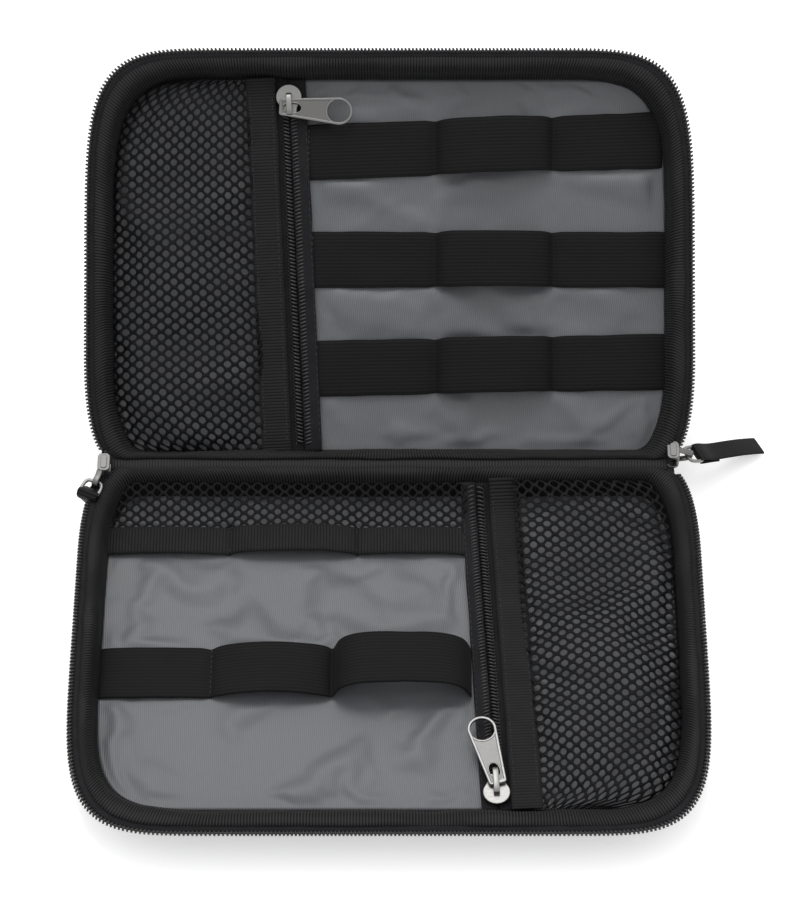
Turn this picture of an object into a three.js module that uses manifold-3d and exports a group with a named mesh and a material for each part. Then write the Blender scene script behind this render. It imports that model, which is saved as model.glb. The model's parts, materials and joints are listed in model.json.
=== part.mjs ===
// Cable organizer pouch: a soft clamshell case, lying open on its base half.
// Millimetres. +Z up, X along the hinge, the base half towards -Y, the lid half towards +Y.
// The origin is the centre of the base's flat underside.
//
// Each half is described in its own frame: x along the hinge, v from the hinge towards the half's
// far edge, w out of its mouth, with w = 0 in the plane that holds the hinge axis.
import * as THREE from 'three';
import { mergeVertices } from 'three/addons/utils/BufferGeometryUtils.js';
import Module from 'manifold-3d';

const wasm = await Module();
wasm.setup();

// ---------------------------------------------------------------- driving dimensions
const WIDTH = 228; // across the zip teeth, along the hinge
const LENGTH = 154; // one half, from its hinge edge to its far edge
const DEPTH = 18; // one half, from the hinge plane to its outer face
const HINGE_GAP = 1; // from the hinge axis to each half's nearest edge
const LID_TILT = THREE.MathUtils.degToRad(33); // how far the open lid rises above level

const FAR_CORNER = { across: 61, along: 89, power: 5 }; // soft corners away from the hinge
const NEAR_CORNER = { across: 12, along: 40, power: 2.4 }; // tighter corners beside the hinge
const FAR_STEPS = 11;
const NEAR_STEPS = 5;

const GAP = 0.3; // between layers that are sewn together
const SHELL = 1; // outer fabric
const FOAM = 2; // padding in the walls
const FLOOR_FOAM = 2.8; // padding and board under the lining
const LINING = 0.8;
const STIFFENER = 1.2; // board under the base's padding
const RIM_TOP = -0.5; // highest level of the sewn rim
const SHELL_TOP = -2.2; // where the outer fabric meets the zip tape
const FLOOR = -DEPTH + SHELL + GAP + FLOOR_FOAM + GAP + LINING; // top face of the lining

// How far the outer fabric has pulled in from the teeth, as [level below the mouth, inset].
const WALL_PROFILE = [[2.2, 3.2], [6, 4], [10, 5.6], [13, 7.4], [15.5, 9.8], [18, 15]];
const LID_FAR_LEAN = 1.25; // the lid's far wall leans out more than its sides
const BASE_FAR_LEAN = 1.7; // the base's far wall more again
const HINGE_ROUND = { from: 15, inset: 1.4 }; // rounding under the upright wall at the hinge
const PADDING_TOP = -3.2;
const STIFFENER_INSET = 3;

// The ribbed lining of the wall rolls over the rim: [inset, inset past the hinge gap, level].
const RIM_ROLL = [[6.8, 1.2, -2], [6.8, 0.6, RIM_TOP - 0.4], [7.3, 1.2, RIM_TOP]];
const RIM_CREST = [9, 3.4, RIM_TOP];
const WALL_LINING = 0.8;
const WALL_LINING_LIFT = 0.2; // off the floor lining
const WALL_LINING_SHOULDER = 2.6; // depth where its back meets the roll

const CHAIN = { width: 2.2, top: -0.6, bottom: -2, start: 10 };
const TAPE = { outer: 2.5, inner: 6.5, top: -0.9, bottom: -1.7 };

const ZIP_LEAN = THREE.MathUtils.degToRad(2.6); // the pocket zip leans outwards, away from the hinge
const ZIP_X = -34.9; // pocket zip centre line at mid length
const ZIP_V = 72;
const ZIP_START = 7;
const PANEL_THICKNESS = 0.8;
const COIL = { width: 2.1, parting: 1.2, bottom: 1.6, top: 3.2 }; // levels above the lining
const POCKET_TAPE = { inner: 13, outer: 8, levels: [2, 2.7] };
const POCKET_TRIM = { near: 5.2, far: 15.7, levels: [3, 4] };
const NET = { edge: 16.1, seam: 0.7, clearance: 1, lift: 0.8, bulge: 9, edgeSteps: 5 };
const NET_RINGS = [0.2, 0.5, 0.75, 0.9, 1]; // shares of its width, from the centre to the seam
const STRAP_WIDTH = 8;
const STRAP_HALF_THICKNESS = 0.8;
const BAND_WIDTH = 21;
const BAND_THICKNESS = 0.9;
const BAND_LIFT = 0.4;

// ---------------------------------------------------------------- materials
function material(name, color, roughness, metalness = 0) {
  const result = new THREE.MeshStandardMaterial({ color, roughness, metalness });
  result.name = name;
  return result;
}
const OUTER = material('outer_fabric', 0x1a1a1c, 0.85);
const RIBBED = material('ribbed_tape', 0x161617, 0.8);
const MESH_NET = material('mesh_net', 0x141416, 0.75);
const ELASTIC = material('elastic', 0x131314, 0.85);
const GREY = material('lining', 0x77787b, 0.55);
const PADDING = material('foam', 0x3a3a3c, 0.95);
const BOARD = material('board', 0x2b2b2b, 0.7);
const TEETH = material('zip_teeth', 0x101011, 0.4);
const METAL = material('nickel', 0xc9c9c8, 0.3, 1);

// ---------------------------------------------------------------- general solids
function meshFrom(vertices, triangles, name, look) {
  let volume = 0;
  const edge1 = new THREE.Vector3();
  for (const [a, b, c] of triangles) {
    edge1.crossVectors(vertices[a], vertices[b]);
    volume += edge1.dot(vertices[c]);
  }
  const outward = volume > 0 ? triangles : triangles.map(([a, b, c]) => [a, c, b]);
  const geometry = new THREE.BufferGeometry();
  geometry.setAttribute('position', new THREE.Float32BufferAttribute(
    vertices.flatMap((p) => [p.x, p.y, p.z]), 3));
  geometry.setIndex(outward.flat());
  geometry.computeVertexNormals();
  return named(geometry, name, look);
}

function named(geometry, name, look) {
  const mesh = new THREE.Mesh(geometry, look);
  mesh.name = name;
  return mesh;
}

// Skins a row of rings with equal point counts. The row is capped at both ends, or joined round.
function loft(rings, name, look, joined = false) {
  const count = rings[0].length;
  const vertices = rings.flat();
  const triangles = [];
  const spans = joined ? rings.length : rings.length - 1;
  for (let r = 0; r < spans; r += 1) {
    const here = r * count;
    const next = ((r + 1) % rings.length) * count;
    for (let i = 0; i < count; i += 1) {
      const j = (i + 1) % count;
      triangles.push([here + i, here + j, next + j], [here + i, next + j, next + i]);
    }
  }
  if (!joined) {
    capRing(rings[0], 0, true, vertices, triangles);
    capRing(rings[rings.length - 1], (rings.length - 1) * count, false, vertices, triangles);
  }
  return meshFrom(vertices, triangles, name, look);
}

function capRing(ring, first, flip, vertices, triangles) {
  const centre = new THREE.Vector3();
  ring.forEach((p) => centre.addScaledVector(p, 1 / ring.length));
  const hub = vertices.length;
  vertices.push(centre);
  ring.forEach((_, i) => {
    const a = first + i;
    const b = first + ((i + 1) % ring.length);
    triangles.push(flip ? [hub, b, a] : [hub, a, b]);
  });
}

function box(name, look, [x0, x1], [v0, v1], [w0, w1]) {
  const geometry = new THREE.BoxGeometry(x1 - x0, v1 - v0, w1 - w0);
  geometry.translate((x0 + x1) / 2, (v0 + v1) / 2, (w0 + w1) / 2);
  return named(geometry, name, look);
}

function toSolid(geometry) {
  const bare = geometry.clone();
  bare.deleteAttribute('normal');
  bare.deleteAttribute('uv');
  const merged = mergeVertices(bare, 1e-4);
  return new wasm.Manifold(new wasm.Mesh({
    numProp: 3,
    vertProperties: new Float32Array(merged.attributes.position.array),
    triVerts: new Uint32Array(merged.index.array),
  }));
}

function fromSolid(solid) {
  const { vertProperties, triVerts } = solid.getMesh();
  const geometry = new THREE.BufferGeometry();
  geometry.setAttribute('position', new THREE.BufferAttribute(vertProperties, 3));
  geometry.setIndex(new THREE.BufferAttribute(triVerts, 1));
  geometry.computeVertexNormals();
  return geometry;
}

// ---------------------------------------------------------------- the outline of one half
// One quarter of a superellipse, from its end on the first axis to its end on the second.
function softQuarter(across, along, power, steps, start = 0, end = Math.PI / 2) {
  return Array.from({ length: steps + 1 }, (_, i) => {
    const angle = start + (end - start) * (i / steps);
    const c = Math.max(Math.cos(angle), 0);
    const s = Math.max(Math.sin(angle), 0);
    const reach = (c ** power + s ** power) ** (-1 / power);
    return [across * c * reach, along * s * reach];
  });
}

// Points round one half, from the hinge side's right end over the far edge to its left end.
// Each inset is a distance in from the teeth's outline or, at the hinge, from the hinge axis.
function outline({ side, far, hinge, from }, level) {
  const half = WIDTH / 2 - side;
  const top = LENGTH + HINGE_GAP - far;
  const { across, along, power } = NEAR_CORNER;
  const begin = from === undefined ? 1 : (along + hinge - from) / along;
  const widest = (1 - begin ** power) ** (1 / power);
  const start = from === undefined ? Math.PI / 2 : Math.atan2(begin, widest);
  const near = softQuarter(across, along, power, NEAR_STEPS, start, 0)
    .map(([a, b]) => [half - across + a, hinge + along - b]);
  const { across: farAcross, along: farAlong, power: farPower } = FAR_CORNER;
  const corner = softQuarter(farAcross - side, farAlong - far, farPower, FAR_STEPS)
    .map(([a, b]) => [half - farAcross + side + a, top - farAlong + far + b]);
  const right = [...near, ...corner];
  const left = right.map(([x, v]) => [-x, v]).reverse();
  return [...right, ...left].map(([x, v]) => new THREE.Vector3(x, v, level));
}

// Inset of the outer fabric at a depth below the mouth.
function wallInset(depth) {
  const last = WALL_PROFILE.length - 1;
  let i = 1;
  while (i < last && WALL_PROFILE[i][0] < depth) i += 1;
  const [d0, inset0] = WALL_PROFILE[i - 1];
  const [d1, inset1] = WALL_PROFILE[i];
  return inset0 + (inset1 - inset0) * ((depth - d0) / (d1 - d0));
}

// The wall's ring at a depth, moved inwards by an offset.
function wallRing(depth, offset, farLean) {
  const side = wallInset(depth);
  const [, rim] = WALL_PROFILE[0];
  const lean = rim + (side - rim) * farLean;
  const rounded = Math.max(0, (depth - HINGE_ROUND.from) / (DEPTH - HINGE_ROUND.from)) * HINGE_ROUND.inset;
  const hinge = HINGE_GAP + rounded + offset;
  return outline({ side: side + offset, far: lean + offset, hinge }, -depth);
}

// A tray layer: its outside lies an offset inside the outer fabric, its floor is thick or thin.
function tray(name, look, { offset, wall, top, bottom, floor }, farLean) {
  const depths = WALL_PROFILE.map(([depth]) => depth);
  const outside = [bottom, ...depths.filter((d) => d < bottom && d > top).reverse(), top];
  const inner = bottom - floor;
  const inside = [top, ...depths.filter((d) => d < inner && d > top), inner];
  const rings = [
    ...outside.map((depth) => wallRing(depth, offset, farLean)),
    ...inside.map((depth) => wallRing(depth, offset + wall, farLean)),
  ];
  return loft(rings, name, look);
}

// A band of constant section that follows three sides, open at the hinge.
function rimBand(name, look, { outer, inner, top, bottom, from }) {
  const edges = [[outer, bottom], [outer, top], [inner, top], [inner, bottom]]
    .map(([inset, level]) => outline({ side: inset, far: inset, hinge: HINGE_GAP, from }, level));
  const sections = edges[0].map((_, i) => edges.map((edge) => edge[i]));
  return loft(sections, name, look);
}

// ---------------------------------------------------------------- layers of one half
const WALL_LAYERS = SHELL + GAP + FOAM + GAP; // from the outer fabric's outside to the wall lining

function shellLayers(half, farLean, hasBoard) {
  const padding = hasBoard ? FLOOR_FOAM - STIFFENER - GAP : FLOOR_FOAM;
  const lift = SHELL + GAP + (hasBoard ? STIFFENER + GAP : 0);
  const group = new THREE.Group();
  group.add(tray(`${half}_shell`, OUTER,
    { offset: 0, wall: SHELL, top: -SHELL_TOP, bottom: DEPTH, floor: SHELL }, farLean));
  group.add(tray(`${half}_padding`, PADDING,
    { offset: SHELL + GAP, wall: FOAM, top: -PADDING_TOP, bottom: DEPTH - lift, floor: padding },
    farLean));
  if (hasBoard) group.add(stiffener(`${half}_stiffener`, farLean));
  group.add(wallLining(`${half}_wall_lining`, farLean));
  group.add(floorLining(`${half}_floor_lining`, farLean));
  return group;
}

function stiffener(name, farLean) {
  const depth = DEPTH - SHELL - GAP;
  const ring = wallRing(DEPTH, STIFFENER_INSET, farLean);
  const lower = ring.map((p) => new THREE.Vector3(p.x, p.y, -depth));
  const upper = ring.map((p) => new THREE.Vector3(p.x, p.y, -depth + STIFFENER));
  return loft([lower, upper], name, BOARD);
}

// The ribbed lining of the wall, which also rolls over the rim and hides the zip tape's edge.
function wallLining(name, farLean) {
  const bottom = -FLOOR - WALL_LINING_LIFT;
  const [, [under], [middle]] = WALL_PROFILE;
  const innerFace = WALL_LAYERS + WALL_LINING;
  const rings = [
    rimRing(RIM_CREST),
    ...[under, middle, bottom].map((depth) => wallRing(depth, innerFace, farLean)),
    ...[bottom, middle, under, WALL_LINING_SHOULDER].map((depth) => wallRing(depth, WALL_LAYERS, farLean)),
    ...RIM_ROLL.map(rimRing),
  ];
  return loft(rings, name, RIBBED, true);
}

function rimRing([inset, hinge, level]) {
  return outline({ side: inset, far: inset, hinge: HINGE_GAP + hinge }, level);
}

function floorLining(name, farLean) {
  const ring = wallRing(-FLOOR, WALL_LAYERS + WALL_LINING + GAP, farLean);
  const at = (level) => ring.map((p) => new THREE.Vector3(p.x, p.y, level));
  return loft([at(FLOOR - LINING), at(FLOOR)], name, GREY);
}

function mainZipSide(half) {
  const group = new THREE.Group();
  const { width, top, bottom, start: from } = CHAIN;
  group.add(rimBand(`${half}_zip_tape`, RIBBED, { ...TAPE, from }));
  group.add(rimBand(`${half}_zip_chain`, TEETH, { outer: 0, inner: width, top, bottom, from }));
  return group;
}

// ---------------------------------------------------------------- the zipped mesh pocket
// Everything along the pocket's zip sits in a group turned to the zip's lean, at lining level.
function pocket(half, farLean) {
  const end = POCKET_END[half];
  const group = new THREE.Group();
  group.add(pocketNet(`${half}_pocket_net`, farLean));
  const zip = new THREE.Group();
  zip.position.set(ZIP_X, ZIP_V, FLOOR);
  zip.rotation.z = ZIP_LEAN;
  const run = [ZIP_START - ZIP_V, end - ZIP_V];
  const half2 = COIL.parting / 2 + COIL.width;
  const { inner, outer, levels } = POCKET_TAPE;
  const { near, far, levels: trimLevels } = POCKET_TRIM;
  zip.add(box(`${half}_pocket_trim`, RIBBED, [-far, -near], run, trimLevels));
  zip.add(box(`${half}_pocket_tape_inner`, RIBBED, [-inner, -half2 - GAP], run, levels));
  zip.add(box(`${half}_pocket_tape_outer`, RIBBED, [half2 + GAP, outer], run, levels));
  const rows = { inner: [-half2, -COIL.parting / 2], outer: [COIL.parting / 2, half2] };
  for (const [row, span] of Object.entries(rows)) {
    zip.add(box(`${half}_pocket_coil_${row}`, TEETH, span, run, [COIL.bottom, COIL.top]));
  }
  const slider = pocketSlider(`${half}_pocket_slider`);
  slider.position.set(0, end - ZIP_V - SLIDER.length / 2 - SLIDER.stop, 0);
  zip.add(slider);
  const puller = pullTab(`${half}_pocket_puller`);
  puller.position.copy(slider.position).add(new THREE.Vector3(...PULLER_SEAT));
  puller.rotation.z = PULLER_TURN[half];
  puller.translateX(-PULLER.root);
  zip.add(puller);
  group.add(zip);
  return group;
}

// A net panel sewn down round its edge and domed in the middle.
function pocketNet(name, farLean) {
  const edgeX = (v) => ZIP_X - NET.edge - (v - ZIP_V) * Math.tan(ZIP_LEAN);
  const floorRing = wallRing(-FLOOR, WALL_LAYERS + WALL_LINING + NET.seam, farLean);
  const kept = floorRing.filter((p) => p.x < edgeX(p.y) - NET.clearance);
  const top = Math.max(...kept.map((p) => p.y));
  const low = Math.min(...kept.map((p) => p.y));
  const corners = [top, low].map((v) => new THREE.Vector3(edgeX(v), v, 0));
  const seam = [corners[0], ...kept, corners[1]];
  for (let i = 1; i < NET.edgeSteps; i += 1) {
    seam.push(new THREE.Vector3().lerpVectors(corners[1], corners[0], i / NET.edgeSteps));
  }
  const centre = new THREE.Vector3();
  seam.forEach((p) => centre.addScaledVector(p, 1 / seam.length));
  const ringAt = (scale, lift) => seam.map((p) => new THREE.Vector3(
    centre.x + (p.x - centre.x) * scale,
    centre.y + (p.y - centre.y) * scale,
    FLOOR + NET.lift + lift + NET.bulge * (1 - scale ** 4),
  ));
  const under = NET_RINGS.map((scale) => ringAt(scale, 0));
  const over = [...NET_RINGS].reverse().map((scale) => ringAt(scale, PANEL_THICKNESS));
  return loft([...under, ...over], name, MESH_NET);
}

// ---------------------------------------------------------------- pocket slider and its pull tab
const SLIDER = { length: 12, crown: 4.8, tail: 2.6, under: [0.4, 1.2], over: [3.6, 4.6], stop: 0.5 };
const SLIDER_POST = { back: 4, length: 3, overlap: 0.4 };
const SLIDER_LUG = { v: -0.6, width: 2.2, length: 3.4, height: 2.6, overlap: 0.2 };
const PULLER = { length: 27, root: 3.1, thickness: 1.1, narrow: 3.2, wide: 5.2, hole: 4.3 };
const PULLER_HEEL = { back: 0.6, front: 0.4, corner: 0.8 };
const PULLER_HOLE = { start: 0.8, broad: 2.4, tip: 4.6, rim: 0.8, corner: 0.1 }; // round the slider's lug
const PULLER_SEAT = [0, -0.6, 5.7];

// Shield-shaped plate, round at its crown and narrower at its tail.
function shieldShape() {
  const { length, crown, tail } = SLIDER;
  const shape = new THREE.Shape();
  const tailV = -length / 2;
  const shoulderV = length / 2 - crown;
  shape.moveTo(-tail, tailV);
  shape.lineTo(tail, tailV);
  shape.lineTo(crown, shoulderV);
  shape.absarc(0, shoulderV, crown, 0, Math.PI, false);
  shape.lineTo(-tail, tailV);
  return shape;
}

function slab(shape, [low, high], curveSegments = 8) {
  const geometry = new THREE.ExtrudeGeometry(shape,
    { depth: high - low, bevelEnabled: false, curveSegments });
  geometry.translate(0, 0, low);
  return geometry;
}

function pocketSlider(name) {
  const { length, under, over } = SLIDER;
  const lower = toSolid(slab(shieldShape(), under));
  const upper = toSolid(slab(shieldShape(), over));
  const { back, length: postLength, overlap } = SLIDER_POST;
  const post = new THREE.BoxGeometry(COIL.parting / 2, postLength, over[0] - under[1] + overlap);
  post.translate(0, length / 2 - back, (over[0] + under[1]) / 2);
  const { v, width, length: lugLength, height, overlap: sunk } = SLIDER_LUG;
  const lug = new THREE.BoxGeometry(width, lugLength, height);
  lug.translate(0, v, over[1] + height / 2 - sunk);
  return named(fromSolid(lower.add(upper).add(toSolid(post)).add(toSolid(lug))), name, METAL);
}

// Flat tab along +X from its root bar, with a hole round the slider's lug and a finger hole.
function pullTab(name) {
  const { length, root, thickness, narrow, wide, hole } = PULLER;
  const end = length - wide;
  const shape = new THREE.Shape();
  const { back, front, corner } = PULLER_HEEL;
  shape.moveTo(-back, -narrow + corner);
  shape.lineTo(front, -narrow);
  shape.lineTo(end, -wide);
  shape.absarc(end, 0, wide, -Math.PI / 2, Math.PI / 2, false);
  shape.lineTo(front, narrow);
  shape.lineTo(-back, narrow - corner);
  const seat = new THREE.Path();
  const { start, broad, tip, rim, corner: chamfer } = PULLER_HOLE;
  seat.moveTo(start, -narrow + rim + chamfer);
  seat.lineTo(start, narrow - rim - chamfer);
  seat.lineTo(root + broad, narrow - rim);
  seat.lineTo(root + tip, 0);
  seat.lineTo(root + broad, -narrow + rim);
  const finger = new THREE.Path();
  finger.absarc(end, 0, hole, 0, Math.PI * 2, true);
  shape.holes.push(seat, finger);
  return named(slab(shape, [-thickness / 2, thickness / 2]), name, METAL);
}

// ---------------------------------------------------------------- elastic bands and slip pocket
// A stitched band: lows at the stitch lines, an arch of its own shape over each cell.
function archedPath(cells, lift, steps = 10) {
  const path = [];
  cells.forEach(([from, to, height, fullness], index) => {
    for (let i = index ? 1 : 0; i <= steps; i += 1) {
      const t = i / steps;
      const spread = (1 - Math.abs(2 * t - 1) ** fullness) ** (1 / Math.min(fullness, 2));
      path.push(new THREE.Vector2(from + (to - from) * t, lift + height * spread));
    }
  });
  return path;
}

// Moves a path sideways by a distance, along its own normals.
function thickened(path, distance) {
  return path.map((p, i) => {
    const before = path[Math.max(i - 1, 0)];
    const after = path[Math.min(i + 1, path.length - 1)];
    const along = after.clone().sub(before).normalize();
    return new THREE.Vector2(p.x - along.y * distance, p.y + along.x * distance);
  });
}

// A ribbon between two paths that run side by side, each at its own v.
function ribbon(name, look, near, far, thickness, slope = 0) {
  const nearTop = thickened(near.path, thickness);
  const farTop = thickened(far.path, thickness);
  const place = (p, v) => new THREE.Vector3(p.x, v + p.x * slope, FLOOR + p.y);
  const sections = near.path.map((p, i) => [
    place(p, near.v),
    place(far.path[i], far.v),
    place(farTop[i], far.v),
    place(nearTop[i], near.v),
  ]);
  return loft(sections, name, look);
}

function band(name, v, cells, slope = 0) {
  const path = archedPath(cells, BAND_LIFT);
  return ribbon(name, ELASTIC, { path, v }, { path, v: v + BAND_WIDTH }, BAND_THICKNESS, slope);
}

const SLIP = { lift: 0.5, net: [6.5, 20], trim: [20.4, 31], thickness: 1 };
function slipPocket(cells) {
  const group = new THREE.Group();
  const { lift, net: [netFrom, netTo], trim: [trimFrom, trimTo], thickness } = SLIP;
  const flat = archedPath(cells.map(([from, to, , fullness]) => [from, to, 0, fullness]), lift);
  const arched = archedPath(cells, lift);
  group.add(ribbon('base_slip_net', MESH_NET, { path: flat, v: netFrom }, { path: arched, v: netTo },
    PANEL_THICKNESS));
  group.add(ribbon('base_slip_trim', RIBBED, { path: arched, v: trimFrom }, { path: arched, v: trimTo },
    thickness));
  return group;
}

// ---------------------------------------------------------------- main zip sliders and straps
const MAIN_SLIDER = { length: 9, inner: 107.8, web: 111.4, outer: 112.5, high: 3.5, wall: 1, bail: 1.6 };
const MAIN_SLIDER_Y = 2.5; // parked just past the hinge axis
const MAIN_BAIL = { beyond: 0.6, sunk: 1, above: 0.4 };
const LOOP = { reach: 7.2, half: 3.4, wire: 0.7, root: 0.9, shoulder: 2.6, roundness: 1.4 };

// A channel that straddles both rows of teeth, open towards the pouch, with a bail for its loop.
function mainSlider(name, side, bailAt) {
  const { length, inner, web, outer, high, wall } = MAIN_SLIDER;
  const shape = new THREE.Shape([
    [inner, -high], [outer, -high], [outer, high], [inner, high],
    [inner, high - wall], [web, high - wall], [web, wall - high], [inner, wall - high],
  ].map(([x, w]) => new THREE.Vector2(side * x, w)));
  const channel = new THREE.ExtrudeGeometry(shape, { depth: length, bevelEnabled: false });
  channel.rotateX(Math.PI / 2);
  channel.translate(0, length / 2, 0);
  const bail = new THREE.BoxGeometry(MAIN_SLIDER.bail, MAIN_SLIDER.bail, MAIN_SLIDER.bail);
  bail.translate(...bailAt);
  const mesh = named(fromSolid(toSolid(channel).add(toSolid(bail))), name, METAL);
  mesh.position.set(0, HINGE_Y + MAIN_SLIDER_Y, DEPTH);
  return mesh;
}

// Wire loop along +X, its root bar just past the origin.
function wireLoop(name) {
  const { reach, half, wire, root, shoulder, roundness } = LOOP;
  const corners = [
    [root, -half + 1],
    [shoulder, -half],
    [reach - roundness, -half],
    [reach - wire, -half + roundness],
  ];
  const mirrored = corners.map(([x, y]) => [x, -y]).reverse();
  const path = new THREE.CatmullRomCurve3(
    [...corners, ...mirrored].map(([x, y]) => new THREE.Vector3(x, y, 0)), true);
  const section = new THREE.Shape();
  section.absarc(0, 0, wire, 0, Math.PI * 2, false);
  const geometry = new THREE.ExtrudeGeometry(section,
    { steps: 28, extrudePath: path, bevelEnabled: false, curveSegments: 3 });
  return named(geometry, name, METAL);
}

// The right strap droops from its loop to the ground beside the hinge.
const RIGHT_PULL = { beside: 2.4, below: 0.4, tip: [145, 18, 1.6] }; // the tip rests on the ground
function rightPull() {
  const group = new THREE.Group();
  const { beside, below, tip: [tipX, pastHinge, tipZ] } = RIGHT_PULL;
  group.position.set(MAIN_SLIDER.outer + beside, HINGE_Y + MAIN_SLIDER_Y, DEPTH - below);
  const tip = new THREE.Vector3(tipX, HINGE_Y + pastHinge, tipZ).sub(group.position);
  group.rotation.order = 'ZYX';
  group.rotation.z = Math.atan2(tip.y, tip.x);
  group.rotation.y = Math.atan2(-tip.z, Math.hypot(tip.x, tip.y));
  group.add(wireLoop('right_pull_loop'));
  group.add(box('right_pull_strap', RIBBED, [LOOP.reach + GAP, tip.length()],
    [-STRAP_WIDTH / 2, STRAP_WIDTH / 2], [-STRAP_HALF_THICKNESS, STRAP_HALF_THICKNESS]));
  return group;
}

// The left loop points forwards; its strap is tucked back on edge, under the raised lid.
const LEFT_PULL = { beside: 0.4, front: 1.8, above: 0.4, turn: -Math.PI / 2 - 0.4 };
const LEFT_STRAP = { start: [-113, -6], height: 5.2, length: 38, turn: -0.05 };
function leftPull() {
  const group = new THREE.Group();
  const { beside, front, above, turn } = LEFT_PULL;
  const face = HINGE_Y + MAIN_SLIDER_Y - MAIN_SLIDER.length / 2;
  const loop = wireLoop('left_pull_loop');
  loop.position.set(-MAIN_SLIDER.outer - beside, face - front, DEPTH + above);
  loop.rotation.z = turn;
  group.add(loop);
  const { start: [startX, pastHinge], height, length, turn: inward } = LEFT_STRAP;
  const strap = box('left_pull_strap', RIBBED, [-STRAP_HALF_THICKNESS, STRAP_HALF_THICKNESS], [0, length],
    [-STRAP_WIDTH / 2, STRAP_WIDTH / 2]);
  strap.position.set(startX, HINGE_Y + pastHinge, height);
  strap.rotation.z = inward;
  group.add(strap);
  return group;
}

// ---------------------------------------------------------------- assembly
const HINGE_Y = LENGTH / 2 + HINGE_GAP;

// Cells are [from, to, height, fullness] between a band's stitch lines.
const PEN_CELL = [20, 64, 11, 1.6];
const BASE_CELLS = [[-25, 20, 17, 4.5], PEN_CELL, [64, 99, 3, 3]];
const SLIP_CELLS = [[-21.5, 12, 6.5, 2.2], [12, 59, 10.5, 2], [59, 94, 6.5, 2.2]];
const LID_STITCHES = [17.5, 61];
const LID_BANDS = [
  { name: 'lid_band_top', v: 107.5, from: -28, to: 95.4, slope: 0.035 },
  { name: 'lid_band_middle', v: 66, from: -26, to: 98, slope: 0 },
  { name: 'lid_band_lower', v: 25.5, from: -24, to: 98, slope: 0.02 },
];
const BASE_BAND_V = 70.5;
const POCKET_END = { base: 135, lid: 140.5 };
const PULLER_TURN = { base: -Math.PI / 2 + 0.2, lid: -0.12 };

function baseHalf() {
  const half = new THREE.Group();
  half.position.set(0, HINGE_Y, DEPTH);
  half.rotation.z = Math.PI;
  half.add(shellLayers('base', BASE_FAR_LEAN, true));
  half.add(mainZipSide('base'));
  half.add(pocket('base', BASE_FAR_LEAN));
  half.add(slipPocket(SLIP_CELLS));
  half.add(band('base_band', BASE_BAND_V, BASE_CELLS));
  return half;
}

function lidHalf() {
  const half = new THREE.Group();
  half.position.set(0, HINGE_Y, DEPTH);
  half.rotation.x = LID_TILT;
  half.add(shellLayers('lid', LID_FAR_LEAN, false));
  half.add(mainZipSide('lid'));
  half.add(pocket('lid', LID_FAR_LEAN));
  const [near, far] = LID_STITCHES;
  for (const { name, v, from, to, slope } of LID_BANDS) {
    half.add(band(name, v, [[from, near, 2, 3], [near, far, 9.5, 2.6], [far, to, 2, 3]], slope));
  }
  return half;
}

const SPINE = { radius: 0.6, short: 30 };
function spine() {
  const { radius, short } = SPINE;
  const geometry = new THREE.CylinderGeometry(radius, radius, WIDTH - short, 8);
  geometry.rotateZ(Math.PI / 2);
  const mesh = named(geometry, 'spine_cord', RIBBED);
  mesh.position.set(0, HINGE_Y, DEPTH);
  return mesh;
}

function mainZipFittings() {
  const group = new THREE.Group();
  const { outer, length } = MAIN_SLIDER;
  const { beyond, sunk, above } = MAIN_BAIL;
  group.add(mainSlider('right_zip_slider', 1, [outer + beyond, 0, 0]));
  group.add(mainSlider('left_zip_slider', -1, [-outer + sunk, -length / 2 - beyond, above]));
  group.add(rightPull(), leftPull());
  return group;
}

const pouch = new THREE.Group();
pouch.add(baseHalf(), lidHalf(), spine(), mainZipFittings());

export default pouch;
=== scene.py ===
"""Looks of the open cable organizer pouch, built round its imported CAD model.

Blender works in metres with +Z up. Shapes are worked out in millimetres in a half's own frame:
x along the hinge, v from the hinge towards the far edge, w out of the half's mouth.
"""

import json
import math

import bmesh
import bpy
import numpy as np
from mathutils import Matrix, Vector, noise


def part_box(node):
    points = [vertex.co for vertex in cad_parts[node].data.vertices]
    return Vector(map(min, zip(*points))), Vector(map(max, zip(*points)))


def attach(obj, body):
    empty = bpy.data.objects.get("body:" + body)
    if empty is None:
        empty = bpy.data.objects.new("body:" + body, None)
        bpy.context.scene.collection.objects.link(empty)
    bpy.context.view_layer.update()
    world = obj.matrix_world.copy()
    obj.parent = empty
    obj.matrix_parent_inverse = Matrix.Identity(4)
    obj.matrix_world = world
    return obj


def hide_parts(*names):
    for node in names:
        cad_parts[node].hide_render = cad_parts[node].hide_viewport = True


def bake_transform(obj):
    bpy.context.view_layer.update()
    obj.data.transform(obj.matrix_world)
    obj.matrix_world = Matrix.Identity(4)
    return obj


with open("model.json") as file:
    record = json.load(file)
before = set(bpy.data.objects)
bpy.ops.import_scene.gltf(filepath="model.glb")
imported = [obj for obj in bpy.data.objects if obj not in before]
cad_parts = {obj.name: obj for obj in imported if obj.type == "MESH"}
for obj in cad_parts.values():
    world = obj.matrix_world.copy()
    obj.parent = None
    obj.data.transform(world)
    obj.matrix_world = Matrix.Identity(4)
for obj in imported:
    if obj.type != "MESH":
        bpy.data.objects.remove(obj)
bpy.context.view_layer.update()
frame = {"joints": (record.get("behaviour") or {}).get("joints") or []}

# ---------------------------------------------------------------- places taken from the frame
MM = 0.001
JOINTS = {joint["name"]: joint for joint in frame["joints"]}
HINGE = JOINTS["lid_fold"]["pos_m"]
TILT = math.radians(JOINTS["lid_fold"]["range_deg"][1])
CHAIN_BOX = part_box("base_zip_chain")
HALF_WIDTH = CHAIN_BOX[1].x / MM
REACH = (HINGE[1] - CHAIN_BOX[0].y) / MM  # from the hinge axis to the teeth at the far edge
DEPTH = HINGE[2] / MM
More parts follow.
